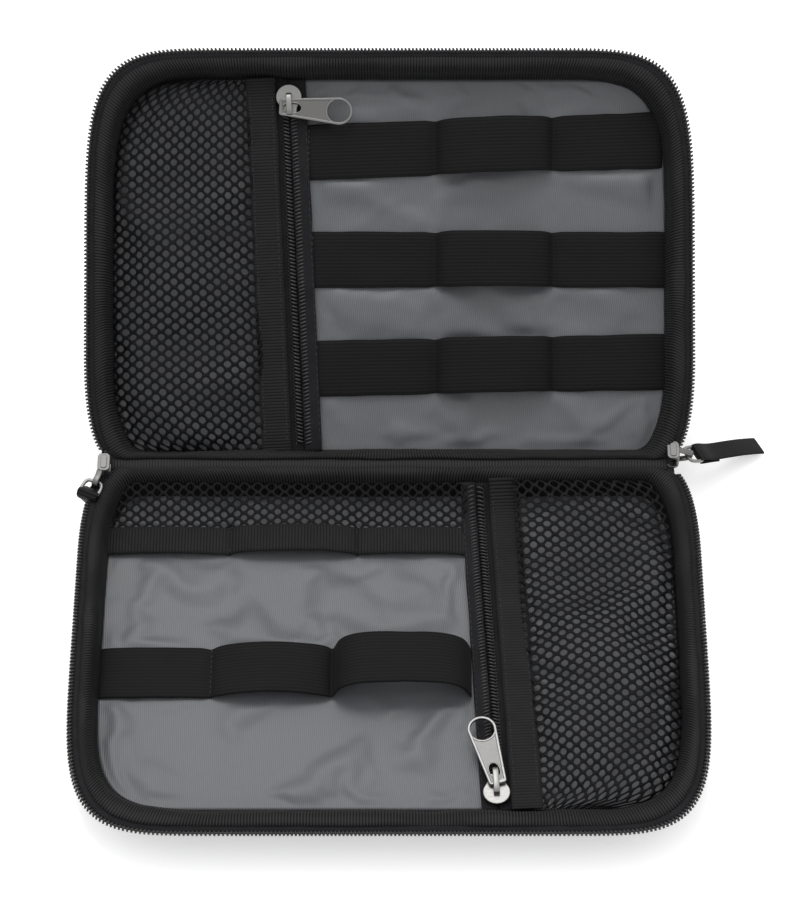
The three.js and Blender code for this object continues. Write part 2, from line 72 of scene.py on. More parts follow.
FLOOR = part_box("base_floor_lining")[1].z / MM - DEPTH  # top of the lining, below the mouth
HALVES = ("base", "lid")

# ---------------------------------------------------------------- driving dimensions
HINGE_GAP = 1.0
NEAR_CORNER = {"across": 12.0, "along": 40.0, "power": 2.4}
FAR_CORNER = {"across": 61.0, "along": 89.0, "power": 5.0}
NEAR_STEPS, FAR_STEPS = 40, 120  # points along each corner's curve
WALL = {"base": 1.7, "lid": 1.25}  # how much more the far wall leans than the sides
WALL_LEVELS = [2.2, 6, 10, 13, 15.5, 18]
WALL_INSETS = [3.2, 4, 5.6, 7.4, 9.8, 15]

TEETH_PITCH = 1.37
RIB_PITCH = 1.08
TRIM_PITCH = 1.15
ZIP_LEAN = math.radians(2.6)
ZIP_X, ZIP_V, ZIP_START = -34.9, 72.0, 7.0
ZIP_END = {"base": 135.0, "lid": 140.5}
ZIP_TUCK = {"base": 5.9, "lid": 4.9}  # how far its strips go on, under the gusset
ZIP_LEAD = {"base": 1.2, "lid": 3.0}  # and how far they start before it
BAND_WIDTH = 21.0
STRAP_WIDTH = 8.0
NET_ROW, NET_STEP = 5.0, 2.05  # hole pitch along a row, and from row to row
NET_DOME = {"base": 7.0, "lid": 7.6}
TAPE_EDGE = {"base": 5.4, "lid": 6.4}  # from the coil to the tape's seam on the lining
CROWN_REACH = {"base": 4.2, "lid": 2.4}  # from the puller's seat to the crown, along the zip
WALL_CLIMB = {"base": 6.6, "lid": 0.0}  # how far the pocket zips rise up the hinge wall
NET_CLIMB = 8.2  # how far the base's nets rise up the hinge wall
LINING_INSETS = {"base": (9.4, 15.7, 5.6), "lid": (10.0, 10.0, 3.7)}
NET_INSETS = {"base": (9.6, 15.8, 5.6), "lid": (10.2, 10.2, 3.8)}
NET_START = {"base": 6.2, "lid": 3.9}  # from the hinge axis to a pocket net's near edge
NET_FAR = {"base": 15.4, "lid": 10.2}  # from the teeth at the far edge to its far one
LINING_SEED = {"base": 2.0, "lid": 9.0}
NET_SEED = {"base": 5.0, "lid": 12.0}
PANEL_SEAM = 13.2  # how deep the outer fabric's sewn seam lies
RIB_SAMPLES = 5  # points along one rib
UNDER_BAND = 0.2  # how high the lining's creases may stand under a band or beside the zip
WIRE_RADIUS = 0.68
STRAP_SIDES = 16  # points round a strap or a bail


def points_of(*columns):
    """Points from their coordinates, which are stretched to one shape."""
    return np.stack(np.broadcast_arrays(*columns), -1)


def place(half, points):
    """Points (x, v, w) in a half's frame, as metres in the part's frame."""
    x, v, w = np.moveaxis(np.asarray(points, float) * MM, -1, 0)
    if half == "base":
        return points_of(-x, HINGE[1] - v, HINGE[2] + w)
    cos, sin = math.cos(TILT), math.sin(TILT)
    return points_of(x, HINGE[1] + v * cos - w * sin, HINGE[2] + v * sin + w * cos)


def unplace(half, points):
    """The inverse of place."""
    x, y, z = np.moveaxis(np.asarray(points, float), -1, 0)
    y, z = y - HINGE[1], z - HINGE[2]
    if half == "base":
        return points_of(-x, -y, z) / MM
    cos, sin = math.cos(TILT), math.sin(TILT)
    return points_of(x, y * cos + z * sin, z * cos - y * sin) / MM


def along_zip(points):
    """Points (across, along, up) beside a pocket's zip, in its half's frame."""
    a, b, up = np.moveaxis(np.asarray(points, float), -1, 0)
    cos, sin = math.cos(ZIP_LEAN), math.sin(ZIP_LEAN)
    return points_of(ZIP_X + a * cos - b * sin, ZIP_V + a * sin + b * cos, FLOOR + up)


def zip_line(v, shift=0.0):
    """Where the middle of a pocket's zip crosses distances v from the hinge."""
    return ZIP_X + shift - (v - ZIP_V) * math.tan(ZIP_LEAN)


def smooth_noise(points, scale, seed=0.0):
    """Smooth random values from -1 to 1, one for each point."""
    flat = np.asarray(points, float).reshape(-1, 3) / scale + seed
    values = [noise.noise(Vector(p)) for p in flat]
    return np.array(values).reshape(np.asarray(points).shape[:-1])


def line_noise(along, scale, seed):
    """The same for distances along a line."""
    return smooth_noise(points_of(along, along, along), scale, seed)


def unit(vectors):
    return vectors / np.maximum(np.linalg.norm(vectors, axis=-1, keepdims=True), 1e-9)


def rib_wave(count, height):
    """Heights of ribs across a ribbed fabric, RIB_SAMPLES points to a rib."""
    return height * np.sin(np.arange(count) * 2 * math.pi / RIB_SAMPLES)


# ---------------------------------------------------------------- rings round a half
def soft_quarter(across, along, power, steps, start=0.0, end=math.pi / 2):
    """A quarter of a superellipse, as its two coordinates."""
    angle = np.linspace(start, end, steps + 1)
    c, s = np.maximum(np.cos(angle), 0), np.maximum(np.sin(angle), 0)
    reach = (c**power + s**power) ** (-1 / power)
    return across * c * reach, along * s * reach


def outline(side, far, hinge):
    """Closed ring with these insets from the teeth, and from the hinge axis, as (x, v) points."""
    half, top = HALF_WIDTH - side, REACH - far
    across, along, power = NEAR_CORNER.values()
    a, b = soft_quarter(across, along, power, NEAR_STEPS, math.pi / 2, 0)
    near = points_of(half - across + a, hinge + along - b)
    across, along, power = FAR_CORNER.values()
    a, b = soft_quarter(across - side, along - far, power, FAR_STEPS)
    corner = points_of(half - across + side + a, top - along + far + b)
    right = np.concatenate([near, corner])
    left = (right * [-1, 1])[::-1]
    return np.concatenate([right, left, right[:1]])


REFERENCE = outline(6, 6, HINGE_GAP)
RUN = np.concatenate([[0], np.cumsum(np.linalg.norm(np.diff(REFERENCE, axis=0), axis=1))])
PERIMETER = RUN[-1]
CHAIN_START = float(np.interp(4.5, REFERENCE[: NEAR_STEPS + 1, 1], RUN[: NEAR_STEPS + 1]))
CHAIN_END = RUN[-2] - CHAIN_START


def ring(insets, level, stations):
    """A ring's points at distances round the half. insets are (side, far, hinge)."""
    points = outline(*insets)
    index = np.interp(stations, RUN, np.arange(len(points)))
    x = np.interp(index, np.arange(len(points)), points[:, 0])
    v = np.interp(index, np.arange(len(points)), points[:, 1])
    return points_of(x, v, level)


def spline(controls, steps):
    """Catmull-Rom through rows of controls, with some steps in each span."""
    c = np.asarray(controls, float)
    padded = np.concatenate([2 * c[:1] - c[1:2], c, 2 * c[-1:] - c[-2:-1]])
    rows = []
    for i in range(len(c) - 1):
        p0, p1, p2, p3 = padded[i : i + 4]
        for t in np.arange(steps) / steps:
            rows.append(0.5 * (2 * p1 + (p2 - p0) * t + (2 * p0 - 5 * p1 + 4 * p2 - p3) * t**2
                               + (3 * p1 - p0 - 3 * p2 + p3) * t**3))
    return np.array(rows + [c[-1]])


def wall_insets(half, depth, offset=0.0):
    """Insets of the outer wall's ring at a depth below the mouth."""
    side = float(np.interp(depth, WALL_LEVELS, WALL_INSETS))
    far = WALL_INSETS[0] + (side - WALL_INSETS[0]) * WALL[half]
    rounded = 1.4 * max(0.0, (depth - 15) / 3)
    return [side + offset, far + offset, HINGE_GAP + rounded + offset]


def profile_rings(profile, stations):
    """Stacks rings for rows of (side, far, hinge, level)."""
    return np.stack([ring(row[:3], row[3], stations) for row in profile], 1)


# ---------------------------------------------------------------- meshes
def add_object(name, data):
    obj = bpy.data.objects.new(name, data)
    bpy.context.scene.collection.objects.link(obj)
    return obj


def mesh_object(name, vertices, faces, corner_uv=None):
    mesh = bpy.data.meshes.new(name)
    faces = faces.tolist() if isinstance(faces, np.ndarray) else faces
    mesh.from_pydata(np.asarray(vertices).tolist(), [], faces)
    if corner_uv is not None:
        layer = mesh.uv_layers.new(name="millimetres")
        layer.data.foreach_set("uv", np.asarray(corner_uv, np.float32).ravel())
    mesh.shade_smooth()
    return add_object(name, mesh)


def grid_faces(rows, columns, closed_rows=False, closed_columns=False):
    """Quads of a grid and, for each corner, its unwrapped (row, column)."""
    i, j = np.meshgrid(np.arange(rows - (not closed_rows)),
                       np.arange(columns - (not closed_columns)), indexing="ij")
    corners = np.stack([points_of(i + a, j + b) for a, b in ((0, 0), (1, 0), (1, 1), (0, 1))], 2)
    corners = corners.reshape(-1, 4, 2)
    index = (corners[..., 0] % rows) * columns + corners[..., 1] % columns
    return index, corners


def grid_object(name, points, along, across, closed_rows=False, closed_columns=False):
    """A skinned grid. along and across are its texture distances, one more when it is closed."""
    rows, columns = points.shape[:2]
    faces, corners = grid_faces(rows, columns, closed_rows, closed_columns)
    uv = points_of(np.asarray(along)[corners[..., 0]], np.asarray(across)[corners[..., 1]])
    return mesh_object(name, points.reshape(-1, 3), faces, uv)


def lengths(points):
    """Distances of points along the line through them."""
    steps = np.linalg.norm(np.diff(points, axis=0), axis=-1)
    return np.concatenate([[0], np.cumsum(steps)])


def weld(obj):
    """Closes the middle of a panel, where a whole ring of points meets."""
    mesh = bmesh.new()
    mesh.from_mesh(obj.data)
    bmesh.ops.remove_doubles(mesh, verts=mesh.verts, dist=1e-6)
    mesh.to_mesh(obj.data)
    mesh.free()


def thicken(obj, thickness, offset=-1.0):
    """Gives a sheet its thickness in millimetres, below it unless offset says otherwise."""
    modifier = obj.modifiers.new("thickness", "SOLIDIFY")
    modifier.thickness = thickness * MM
    modifier.offset = offset
    return obj


def smooth_more(obj, levels=1):
    modifier = obj.modifiers.new("subdivision", "SUBSURF")
    modifier.levels = modifier.render_levels = levels
    return obj


def tangents(paths):
    """Directions along paths of points, or along the rows of a grid of them."""
    steps = np.gradient(paths, axis=-2)
    return steps / np.linalg.norm(steps, axis=-1, keepdims=True)


def tubes(name, paths, radii, sides=6):
    """Closed round tubes, one for each path, all of equal point counts. Paths are in metres."""
    paths = np.asarray(paths, float)
    count, steps = paths.shape[:2]
    ahead = tangents(paths)
    chord = paths[:, -1] - paths[:, 0] + 1e-9
    bow = paths[:, steps // 2] - (paths[:, 0] + paths[:, -1]) / 2 + [0, 0, 1e-6]
    side = np.cross(chord, bow)
    side /= np.linalg.norm(side, axis=-1, keepdims=True)
    side = np.repeat(side[:, None], steps, 1)
    up = unit(np.cross(side, ahead))
    turn = np.arange(sides) * 2 * math.pi / sides
    radius = (np.asarray(radii, float) * np.ones(steps))[None, :, None, None] * MM
    rings = paths[:, :, None] + radius * (np.cos(turn)[:, None] * side[:, :, None]
                                          + np.sin(turn)[:, None] * up[:, :, None])
    block, _ = grid_faces(steps, sides, closed_columns=True)
    faces, caps = [], []
    for first in np.arange(count) * steps * sides:
        faces += (block[:, ::-1] + first).tolist()
        end = np.arange(sides) + first
        caps += [end.tolist(), (end[::-1] + (steps - 1) * sides).tolist()]
    return mesh_object(name, rings.reshape(-1, 3), faces + caps)


def plate(name, loops, low, high, bevel=0.12, resolution=2):
    """A flat plate with holes, from closed (x, y) loops in millimetres, between two levels."""
    curve = bpy.data.curves.new(name + "_outline", "CURVE")
    curve.dimensions = "2D"
    curve.fill_mode = "BOTH"
    curve.extrude = ((high - low) / 2 - bevel) * MM
    curve.bevel_depth = bevel * MM
    curve.bevel_resolution = resolution
    curve.offset = -bevel * MM
    for loop in loops:
        edge = curve.splines.new("POLY")
        edge.points.add(len(loop) - 1)
        edge.use_cyclic_u = True
        for point, (x, y) in zip(edge.points, loop):
            point.co = (x * MM, y * MM, 0, 1)
    source = add_object(name + "_outline", curve)
    graph = bpy.context.evaluated_depsgraph_get()
    mesh = bpy.data.meshes.new_from_object(source.evaluated_get(graph))
    bpy.data.objects.remove(source)
    mesh.transform(Matrix.Translation((0, 0, (low + high) / 2 * MM)))
    mesh.shade_smooth()
    mesh.set_sharp_from_angle(angle=math.radians(38))
    return add_object(name, mesh)


def join(name, *objects):
    """Joins pieces into one, under a new name."""
    target = objects[0]
    with bpy.context.temp_override(active_object=target, selected_editable_objects=list(objects)):
        bpy.ops.object.join()
    target.name = target.data.name = name
    return target


def moved(obj, matrix):
    obj.data.transform(matrix)
    return obj


# ---------------------------------------------------------------- materials
def feed_socket(tree, socket, value):
    """Links an output to a socket, or sets the socket's own value."""
    if isinstance(value, bpy.types.NodeSocket):
        tree.links.new(value, socket)
    else:
        socket.default_value = value


def add_node(tree, kind, *inputs):
    node = tree.nodes.new(kind)
    for slot, value in enumerate(inputs):
        feed_socket(tree, node.inputs[slot], value)
    return node


def add_math(tree, operation, *inputs):
    node = add_node(tree, "ShaderNodeMath", *inputs)
    node.operation = operation
    return node.outputs[0]


class Look:
    """A Principled material whose colour and bump are built up from texture distances."""

    def __init__(self, name, roughness, metallic=0.0, sheen=0.0, specular=0.5):
        self.material = bpy.data.materials.new(name)
        self.material.use_nodes = True
        self.tree = self.material.node_tree
        self.shader = self.tree.nodes["Principled BSDF"]
        for socket, value in (("Roughness", roughness), ("Metallic", metallic), ("Sheen Weight", sheen),
                              ("Specular IOR Level", specular), ("Sheen Roughness", 0.4)):
            self.shader.inputs[socket].default_value = value
        uv = self.node("ShaderNodeUVMap")
        uv.uv_map = "millimetres"
        split = self.node("ShaderNodeSeparateXYZ", uv.outputs[0])
        self.along, self.across = split.outputs[0], split.outputs[1]
        self.place = self.node("ShaderNodeTexCoord").outputs["Object"]

    def node(self, kind, *inputs):
        return add_node(self.tree, kind, *inputs)

    def feed(self, socket, value):
        feed_socket(self.tree, socket, value)

    def math(self, operation, *inputs):
        return add_math(self.tree, operation, *inputs)

    def wave(self, distance, pitch, phase=0.0):
        """From 0 to 1 and back, once each pitch."""
        turn = self.math("MULTIPLY_ADD", distance, 2 * math.pi / pitch, phase)
        return self.math("MULTIPLY_ADD", self.math("SINE", turn), 0.5, 0.5)

    def grain(self, size, detail=2.0):
        """Noise with features of a size in millimetres."""
        node = self.node("ShaderNodeTexNoise", self.place)
        node.inputs["Scale"].default_value = 1 / (size * MM)
        node.inputs["Detail"].default_value = detail
        return node.outputs["Fac"]

    def blend(self, share, low, high):
        node = self.tree.nodes.new("ShaderNodeMix")
        node.data_type = "RGBA"
        self.feed(node.inputs["Factor"], share)
        self.feed(node.inputs["A"], (*low, 1) if isinstance(low, tuple) else low)
        self.feed(node.inputs["B"], (*high, 1) if isinstance(high, tuple) else high)
        return node.outputs["Result"]

    def fit(self, value, low, high):
        """Moves a value from 0..1 to low..high."""
        return self.math("MULTIPLY_ADD", value, high - low, low)

    def finish(self, color, height=None, depth=0.1, roughness=None):
        self.feed(self.shader.inputs["Base Color"], (*color, 1) if isinstance(color, tuple) else color)
        if height is not None:
            bump = self.node("ShaderNodeBump")
            bump.inputs["Strength"].default_value = 1.0
            bump.inputs["Distance"].default_value = depth * MM
            self.feed(bump.inputs["Height"], height)
            self.feed(self.shader.inputs["Normal"], bump.outputs[0])
        if roughness is not None:
            self.feed(self.shader.inputs["Roughness"], roughness)
        return self.material


def weave(look, pitch):
    """Plain weave: threads that pass over and under each other."""
    over = look.math("MULTIPLY", look.wave(look.along, pitch), look.wave(look.across, pitch))
    under = look.math("MULTIPLY", look.wave(look.along, pitch, math.pi),
                      look.wave(look.across, pitch, math.pi))
    return look.math("MAXIMUM", over, under)


def outer_fabric():
    look = Look("outer_fabric", 0.62, sheen=0.04, specular=0.2)
    threads = weave(look, 0.9)
    mottle = look.grain(30, 4)
    tint = look.blend(mottle, (0.010, 0.010, 0.011), (0.020, 0.020, 0.022))
    color = look.blend(look.math("MULTIPLY", threads, 0.6), tint, (0.045, 0.045, 0.048))
    return look.finish(color, threads, 0.09, look.fit(mottle, 0.52, 0.75))


def gusset_fabric():
    look = Look("ribbed_gusset", 0.62, sheen=0.02, specular=0.12)
    threads = look.wave(look.across, 0.62)
    ribs = look.wave(look.along, RIB_PITCH)
    mottle = look.grain(9, 3)
    low = look.blend(mottle, (0.003, 0.003, 0.0033), (0.007, 0.007, 0.0075))
    # The colour follows the ribs: a painted highlight on each rib's crest and painted shade in the grooves.
    # How dark the painted groove shade is varies with the mottle.
    color = look.blend(look.math("MULTIPLY", ribs, 0.85), low, (0.032, 0.032, 0.033))
    height = look.math("MULTIPLY_ADD", threads, 0.35, look.grain(0.35, 1))
    return look.finish(color, height, 0.05)


def grosgrain(name, pitch):
    look = Look(name, 0.62, sheen=0.02, specular=0.11)
    ribs = look.wave(look.along, pitch)
    threads = look.wave(look.across, 0.5)
    mottle = look.grain(6, 3)
    low = look.blend(mottle, (0.0015, 0.0015, 0.0018), (0.004, 0.004, 0.0045))
    # Painted rib shading: lighter on the rib crests as a painted highlight and darker between them as painted
    # shade. The mottle makes this painted highlight patchy and also varies the dark tone at random.
    color = look.blend(look.math("MULTIPLY", ribs, look.fit(mottle, 0.6, 1.0)), low, (0.021, 0.021, 0.022))
    return look.finish(color, look.math("ADD", threads, look.grain(0.3, 1)), 0.05)


def tape_fabric():
    look = Look("zip_tape", 0.66, sheen=0.03, specular=0.16)
    slant = look.math("ADD", look.along, look.math("PINGPONG", look.across, 1.2))
    twill = look.wave(slant, 0.7)
    color = look.blend(look.math("MULTIPLY", twill, look.grain(5, 3)), (0.004, 0.004, 0.005),
                       (0.026, 0.026, 0.030))
    return look.finish(color, twill, 0.08)


def elastic_fabric():
    look = Look("elastic", 0.7, sheen=0.02, specular=0.12)
    cords = look.wave(look.across, 1.31)
    picks = look.wave(look.along, 0.55)
    mottle = look.grain(12, 3)
    low = look.blend(mottle, (0.0035, 0.0035, 0.0035), (0.007, 0.007, 0.007))
    share = look.math("MULTIPLY", cords, look.fit(picks, 0.15, 0.45))
    color = look.blend(share, low, (0.022, 0.022, 0.022))
    height = look.math("MULTIPLY_ADD", picks, 0.5, cords)
    return look.finish(color, height, 0.025)


def lining_fabric():
    look = Look("grey_lining", 0.36, sheen=0.05, specular=0.6)
    slant = look.math("MULTIPLY_ADD", look.across, 0.08, look.along)
    lines = look.wave(slant, 0.72)
    cloudy = look.grain(26, 3)
    base = look.blend(cloudy, (0.062, 0.065, 0.072), (0.104, 0.107, 0.116))
    color = look.blend(look.math("MULTIPLY", lines, 0.5), base, (0.155, 0.159, 0.170))
    height = look.math("MULTIPLY_ADD", look.wave(look.across, 0.4), 0.3, lines)
    return look.finish(color, height, 0.035, look.fit(cloudy, 0.36, 0.50))


def net_thread():
    look = Look("net_thread", 0.45, sheen=0.0, specular=0.10)
    color = look.blend(look.grain(4, 2), (0.003, 0.003, 0.0035), (0.010, 0.010, 0.011))
    return look.finish(color, look.grain(0.25, 1), 0.06)


def coil_nylon():
    look = Look("coil_nylon", 0.28)
    color = look.blend(look.grain(3, 2), (0.006, 0.006, 0.0065), (0.022, 0.022, 0.023))
    return look.finish(color, look.grain(0.3, 1), 0.03, look.fit(look.grain(2, 2), 0.22, 0.4))


def nickel(name, color, rough_low, rough_high):
    look = Look(name, rough_low, metallic=1.0)
    scuffs = look.grain(0.8, 6)
    tint = look.blend(look.grain(6, 3), color, tuple(0.86 * c for c in color))
    return look.finish(tint, look.grain(0.5, 3), 0.012, look.fit(scuffs, rough_low, rough_high))


def sewing_thread():
    look = Look("sewing_thread", 0.5, sheen=0.03, specular=0.2)
    color = look.blend(look.grain(1.5, 2), (0.010, 0.010, 0.011), (0.040, 0.040, 0.042))
    return look.finish(color, look.grain(0.2, 1), 0.04)


OUTER, GUSSET, TAPE = outer_fabric(), gusset_fabric(), tape_fabric()
TRIM, SLIP_TRIM = grosgrain("pocket_grosgrain", TRIM_PITCH), grosgrain("slip_grosgrain", TRIM_PITCH)
WEBBING, ELASTIC = grosgrain("webbing", TRIM_PITCH), elastic_fabric()
LINING, NET, COIL, THREAD = lining_fabric(), net_thread(), coil_nylon(), sewing_thread()
NICKEL = nickel("bright_nickel", (0.31, 0.307, 0.30), 0.30, 0.44)
RIM = nickel("rim_nickel", (0.24, 0.238, 0.234), 0.24, 0.38)
SATIN = nickel("satin_nickel", (0.185, 0.183, 0.18), 0.30, 0.46)


def dress(obj, look, slot, body, *nodes):
    """Gives a piece its material, sets it on its body and lets it stand for CAD nodes."""
    obj.data.materials.clear()
    obj.data.materials.append(look)
    if body:
        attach(obj, body)
    if nodes:
        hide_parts(*nodes)
    return obj


# ---------------------------------------------------------------- cloth that has been simulated
def crease(obj, pinned, growth, frames, cap, seed):
    """Lets a sheet that is too big for its seams buckle, then keeps the result on its mesh."""
    rest = np.array([v.co for v in obj.data.vertices])
    group = obj.vertex_groups.new(name="sewn")
    group.add([int(i) for i in np.flatnonzero(pinned)], 1.0, "REPLACE")
    jitter = smooth_noise(rest, 0.018, seed) * 0.0006
    start = rest + jitter[:, None] * vertex_normals(obj)
    start[pinned] = rest[pinned]
    obj.data.vertices.foreach_set("co", start.astype(np.float32).ravel())
    cloth = obj.modifiers.new("cloth", "CLOTH")
    settings = cloth.settings
    settings.quality = 6
    settings.mass = 0.12
    settings.tension_stiffness = settings.compression_stiffness = 18
    settings.shear_stiffness = 8
    settings.bending_stiffness = 0.35
    settings.air_damping = 4
    settings.vertex_group_mass = "sewn"
    settings.shrink_min = -growth
    settings.effector_weights.gravity = 0
    cloth.collision_settings.use_collision = False
    scene = bpy.context.scene
    cloth.point_cache.frame_start, cloth.point_cache.frame_end = 1, frames
    for step in range(1, frames + 1):
        scene.frame_set(step)
    graph = bpy.context.evaluated_depsgraph_get()
    result = np.array([v.co for v in obj.evaluated_get(graph).data.vertices])
    obj.modifiers.remove(cloth)
    scene.frame_set(1)
    change = result - rest
    size = np.linalg.norm(change, axis=1, keepdims=True)
    kept = rest + change * np.minimum(1, cap * MM / np.maximum(size, 1e-9))
    obj.data.vertices.foreach_set("co", kept.astype(np.float32).ravel())
    obj.data.update()
    return kept


def vertex_normals(obj):
    normals = np.zeros(len(obj.data.vertices) * 3, np.float32)
    obj.data.vertex_normals.foreach_get("vector", normals)
    return normals.reshape(-1, 3)


# ---------------------------------------------------------------- shells, gussets and the main zip
def grid_normals(points, closed_rows=False):
    """Unit normals of a grid of points."""
    if closed_rows:
        wrapped = np.concatenate([points[-1:], points, points[:1]])
        along = np.gradient(wrapped, axis=0)[1:-1]
    else:
        along = np.gradient(points, axis=0)
    return unit(np.cross(along, np.gradient(points, axis=1)))


def shell(half):
    """Outer fabric over its padding: a soft wall, a sewn seam and a panel."""
    stations = np.linspace(0, PERIMETER, 520, endpoint=False)
    depths = [2.4, 3, 4, 5.5, 7, 8.5, 10, 11.3, 12.3, 12.9, PANEL_SEAM, 13.5, 14.1, 15, 16, 17, 17.6]
    pinch = [0.5 * math.exp(-((d - PANEL_SEAM) / 0.35) ** 2) for d in depths]
    rows = [[*wall_insets(half, 2.2, 1.0), -2.4], [*wall_insets(half, 2.2, 0.25), -2.05]]
    rows += [[*wall_insets(half, d, p), -d] for d, p in zip(depths, pinch)]
    rows.append([*wall_insets(half, 18.0), -18.0])
    wall = profile_rings(rows, stations)
    centre = np.array([0, REACH / 2, -DEPTH])
    shares = np.array([0.985, 0.95, 0.9, 0.82, 0.72, 0.6, 0.46, 0.32, 0.18, 0.05, 0.0])  # to the middle
    panel = centre + (wall[:, -1:] - centre) * shares[None, :, None]
    crown = 0.0 if half == "base" else 1.3
    panel[..., 2] -= crown * (1 - shares**3)
    points = np.concatenate([wall, panel], 1)
    normal = -grid_normals(points, True)
    normal[:, -3:] = (0, 0, -1)
    soft = 0.45 * smooth_noise(points, 26, 3.1) + 0.18 * smooth_noise(points, 8, 7.7)
    soft *= np.clip((-2.6 - points[..., 2]) / 3, 0, 1)
    points += normal * soft[..., None]
    points[..., 2] = np.maximum(points[..., 2], -DEPTH - crown * 1.2)
    columns = points.shape[1]
    faces, corners = grid_faces(len(stations), columns, closed_rows=True)
    across = lengths(points[0])
    uv = points_of(corners[..., 0] * PERIMETER / len(stations), across[corners[..., 1]])
    flat = corners[..., 1].min(1) >= len(rows) - 2
    uv[flat] = points.reshape(-1, 3)[faces[flat], :2]
    obj = mesh_object(f"{half}_outer", place(half, points).reshape(-1, 3), faces[:, ::-1], uv[:, ::-1])
    weld(obj)
    thicken(obj, 1.0)
    inside = ["base_stiffener"] if half == "base" else []
    dress(obj, OUTER, "outer_fabric", half, f"{half}_shell", f"{half}_padding", *inside)
    top_stitch = profile_rings([[*wall_insets(half, 14.4, -0.1), -14.4]],
                               np.linspace(0, PERIMETER, 900, endpoint=False))[:, 0]
    stitch_row(half, f"{half}_panel_stitches", top_stitch, 3.0, 2.2, 0.28, outward=True)


def stitch_row(half, name, line, spacing, length, radius, outward=False):
    """A row of stitches that follows a line of points in a half's frame."""
    run = lengths(line)
    starts = np.arange(spacing / 2, run[-1] - spacing / 2, spacing)
    shares = np.linspace(-0.5, 0.5, 5) * length
    path = np.stack([np.stack([np.interp(starts + share, run, line[:, axis]) for axis in range(3)], -1)
                     for share in shares], 1)
    if outward:
        centre = np.array([0, REACH / 2, 0])
        lift = path[:, 2] - centre
        lift[:, 2] = 0
        lift /= np.linalg.norm(lift, axis=1, keepdims=True)
    else:
        lift = np.tile([0.0, 0.0, 1.0], (len(path), 1))
    arch = (1 - (2 * shares / length) ** 2) * radius * 1.2 - radius * 0.6
    path = path + lift[:, None] * arch[None, :, None]
    stitches = tubes(name, place(half, path), [radius * k for k in (0.5, 0.9, 1, 0.9, 0.5)])
    dress(stitches, THREAD, "ribbed_tape", half)


GUSSET_ROWS = {
    "base": [[4.4, 4.2, 1.7, -2.0], [3.9, 3.7, 1.4, -1.1], [4.6, 4.3, 1.9, -0.35], [5.9, 6.0, 3.3, -0.1],
             [7.5, 8.5, 4.9, -1.2], [8.5, 11.0, 5.7, -3.8], [8.9, 13.0, 6.1, -7.2],
             [9.3, 14.8, 6.4, -10.4], [10.0, 16.4, 7.2, -12.5], [9.6, 16.0, 6.8, -13.3]],
    "lid": [[4.4, 4.2, 1.7, -2.0], [3.9, 3.7, 1.4, -1.1], [4.6, 4.3, 1.7, -0.35], [6.1, 5.8, 2.6, -0.1],
            [7.9, 7.3, 3.5, -1.2], [9.0, 8.4, 4.0, -3.8], [9.5, 8.8, 4.2, -7.2],
            [10.0, 9.5, 4.6, -10.4], [10.7, 10.5, 5.2, -12.5], [10.3, 10.2, 4.9, -13.3]],
}


def gusset(half):
    """The ribbed roll of fabric between the zip tape and the lining."""
    ribs, samples = round(PERIMETER / RIB_PITCH), RIB_SAMPLES
    stations = np.arange(ribs * samples) * PERIMETER / (ribs * samples)
    profile = spline(GUSSET_ROWS[half], 2)
    points = profile_rings(profile, stations)
    normal = grid_normals(points, True)
    columns = points.shape[1]
    edge = np.minimum(np.arange(columns), columns - 1 - np.arange(columns))
    fade = np.clip(edge / 3, 0, 1)
    coarse = points[::samples]
    slump = 1.0 * smooth_noise(coarse * [1, 1, 0.4], 19, 1.3) + 0.3 * smooth_noise(coarse, 6, 5.1)
    slump = np.stack([np.interp(np.arange(len(stations)), np.arange(ribs) * samples, slump[:, c],
                                period=len(stations)) for c in range(columns)], 1)
    rib = rib_wave(len(stations), 0.19)
    height = slump * np.clip(edge / 5, 0, 1) + rib[:, None] * fade
    points = points + normal * height[..., None]
    points[..., 2] = np.minimum(points[..., 2], -0.06)  # clear of the other half's, when shut
    along = np.arange(len(stations) + 1) * RIB_PITCH / samples
    obj = grid_object(f"{half}_gusset", place(half, points), along, lengths(points[0]), closed_rows=True)
    thicken(obj, 0.7)
    dress(obj, GUSSET, "ribbed_tape", half, f"{half}_wall_lining")


def main_zip(half):
    """Tape, coil teeth and core cord along three sides of one half."""
    stations = np.linspace(CHAIN_START, CHAIN_END, 420)
    rows = [[1.4, 1.4, 1, -1.3], [1.9, 1.9, 1, -1.05], [3.0, 3.0, 1, -0.95], [4.0, 4.0, 1, -1.1],
            [4.9, 4.9, 1, -1.6]]
    points = profile_rings(rows, stations)
    tape = grid_object(f"{half}_tape", place(half, points), stations, lengths(points[0]))
    dress(thicken(tape, 0.6), TAPE, "ribbed_tape", half, f"{half}_zip_tape")
    turns = np.arange(CHAIN_START + 0.8, CHAIN_END - 0.8, TEETH_PITCH)
    hook = [(2.1, -1.75, 0.0), (1.8, -1.0, 0.08), (1.15, -0.62, 0.16), (0.55, -0.72, 0.24),
            (0.35, -1.2, 0.3), (0.6, -1.7, 0.2)]  # inset, level and slant of one tooth's wire
    paths = np.stack([ring((inset, inset, HINGE_GAP), level, turns + slant)
                      for inset, level, slant in hook], 1)
    teeth = tubes("teeth", place(half, paths), [0.34, 0.42, 0.44, 0.46, 0.44, 0.36])
    core = place(half, ring((1.25, 1.25, HINGE_GAP), -1.35, np.linspace(CHAIN_START, CHAIN_END, 300)))
    cord = tubes("core", core[None], [0.42])
    dress(join(f"{half}_teeth", teeth, cord), COIL, "zip_teeth", half, f"{half}_zip_chain")


# ---------------------------------------------------------------- floor linings
def side_at(insets, v):
    """Half the width of a ring at distances v from the hinge."""
    points = outline(*insets)[: NEAR_STEPS + FAR_STEPS + 2]
    return np.interp(v, points[:, 1], points[:, 0])


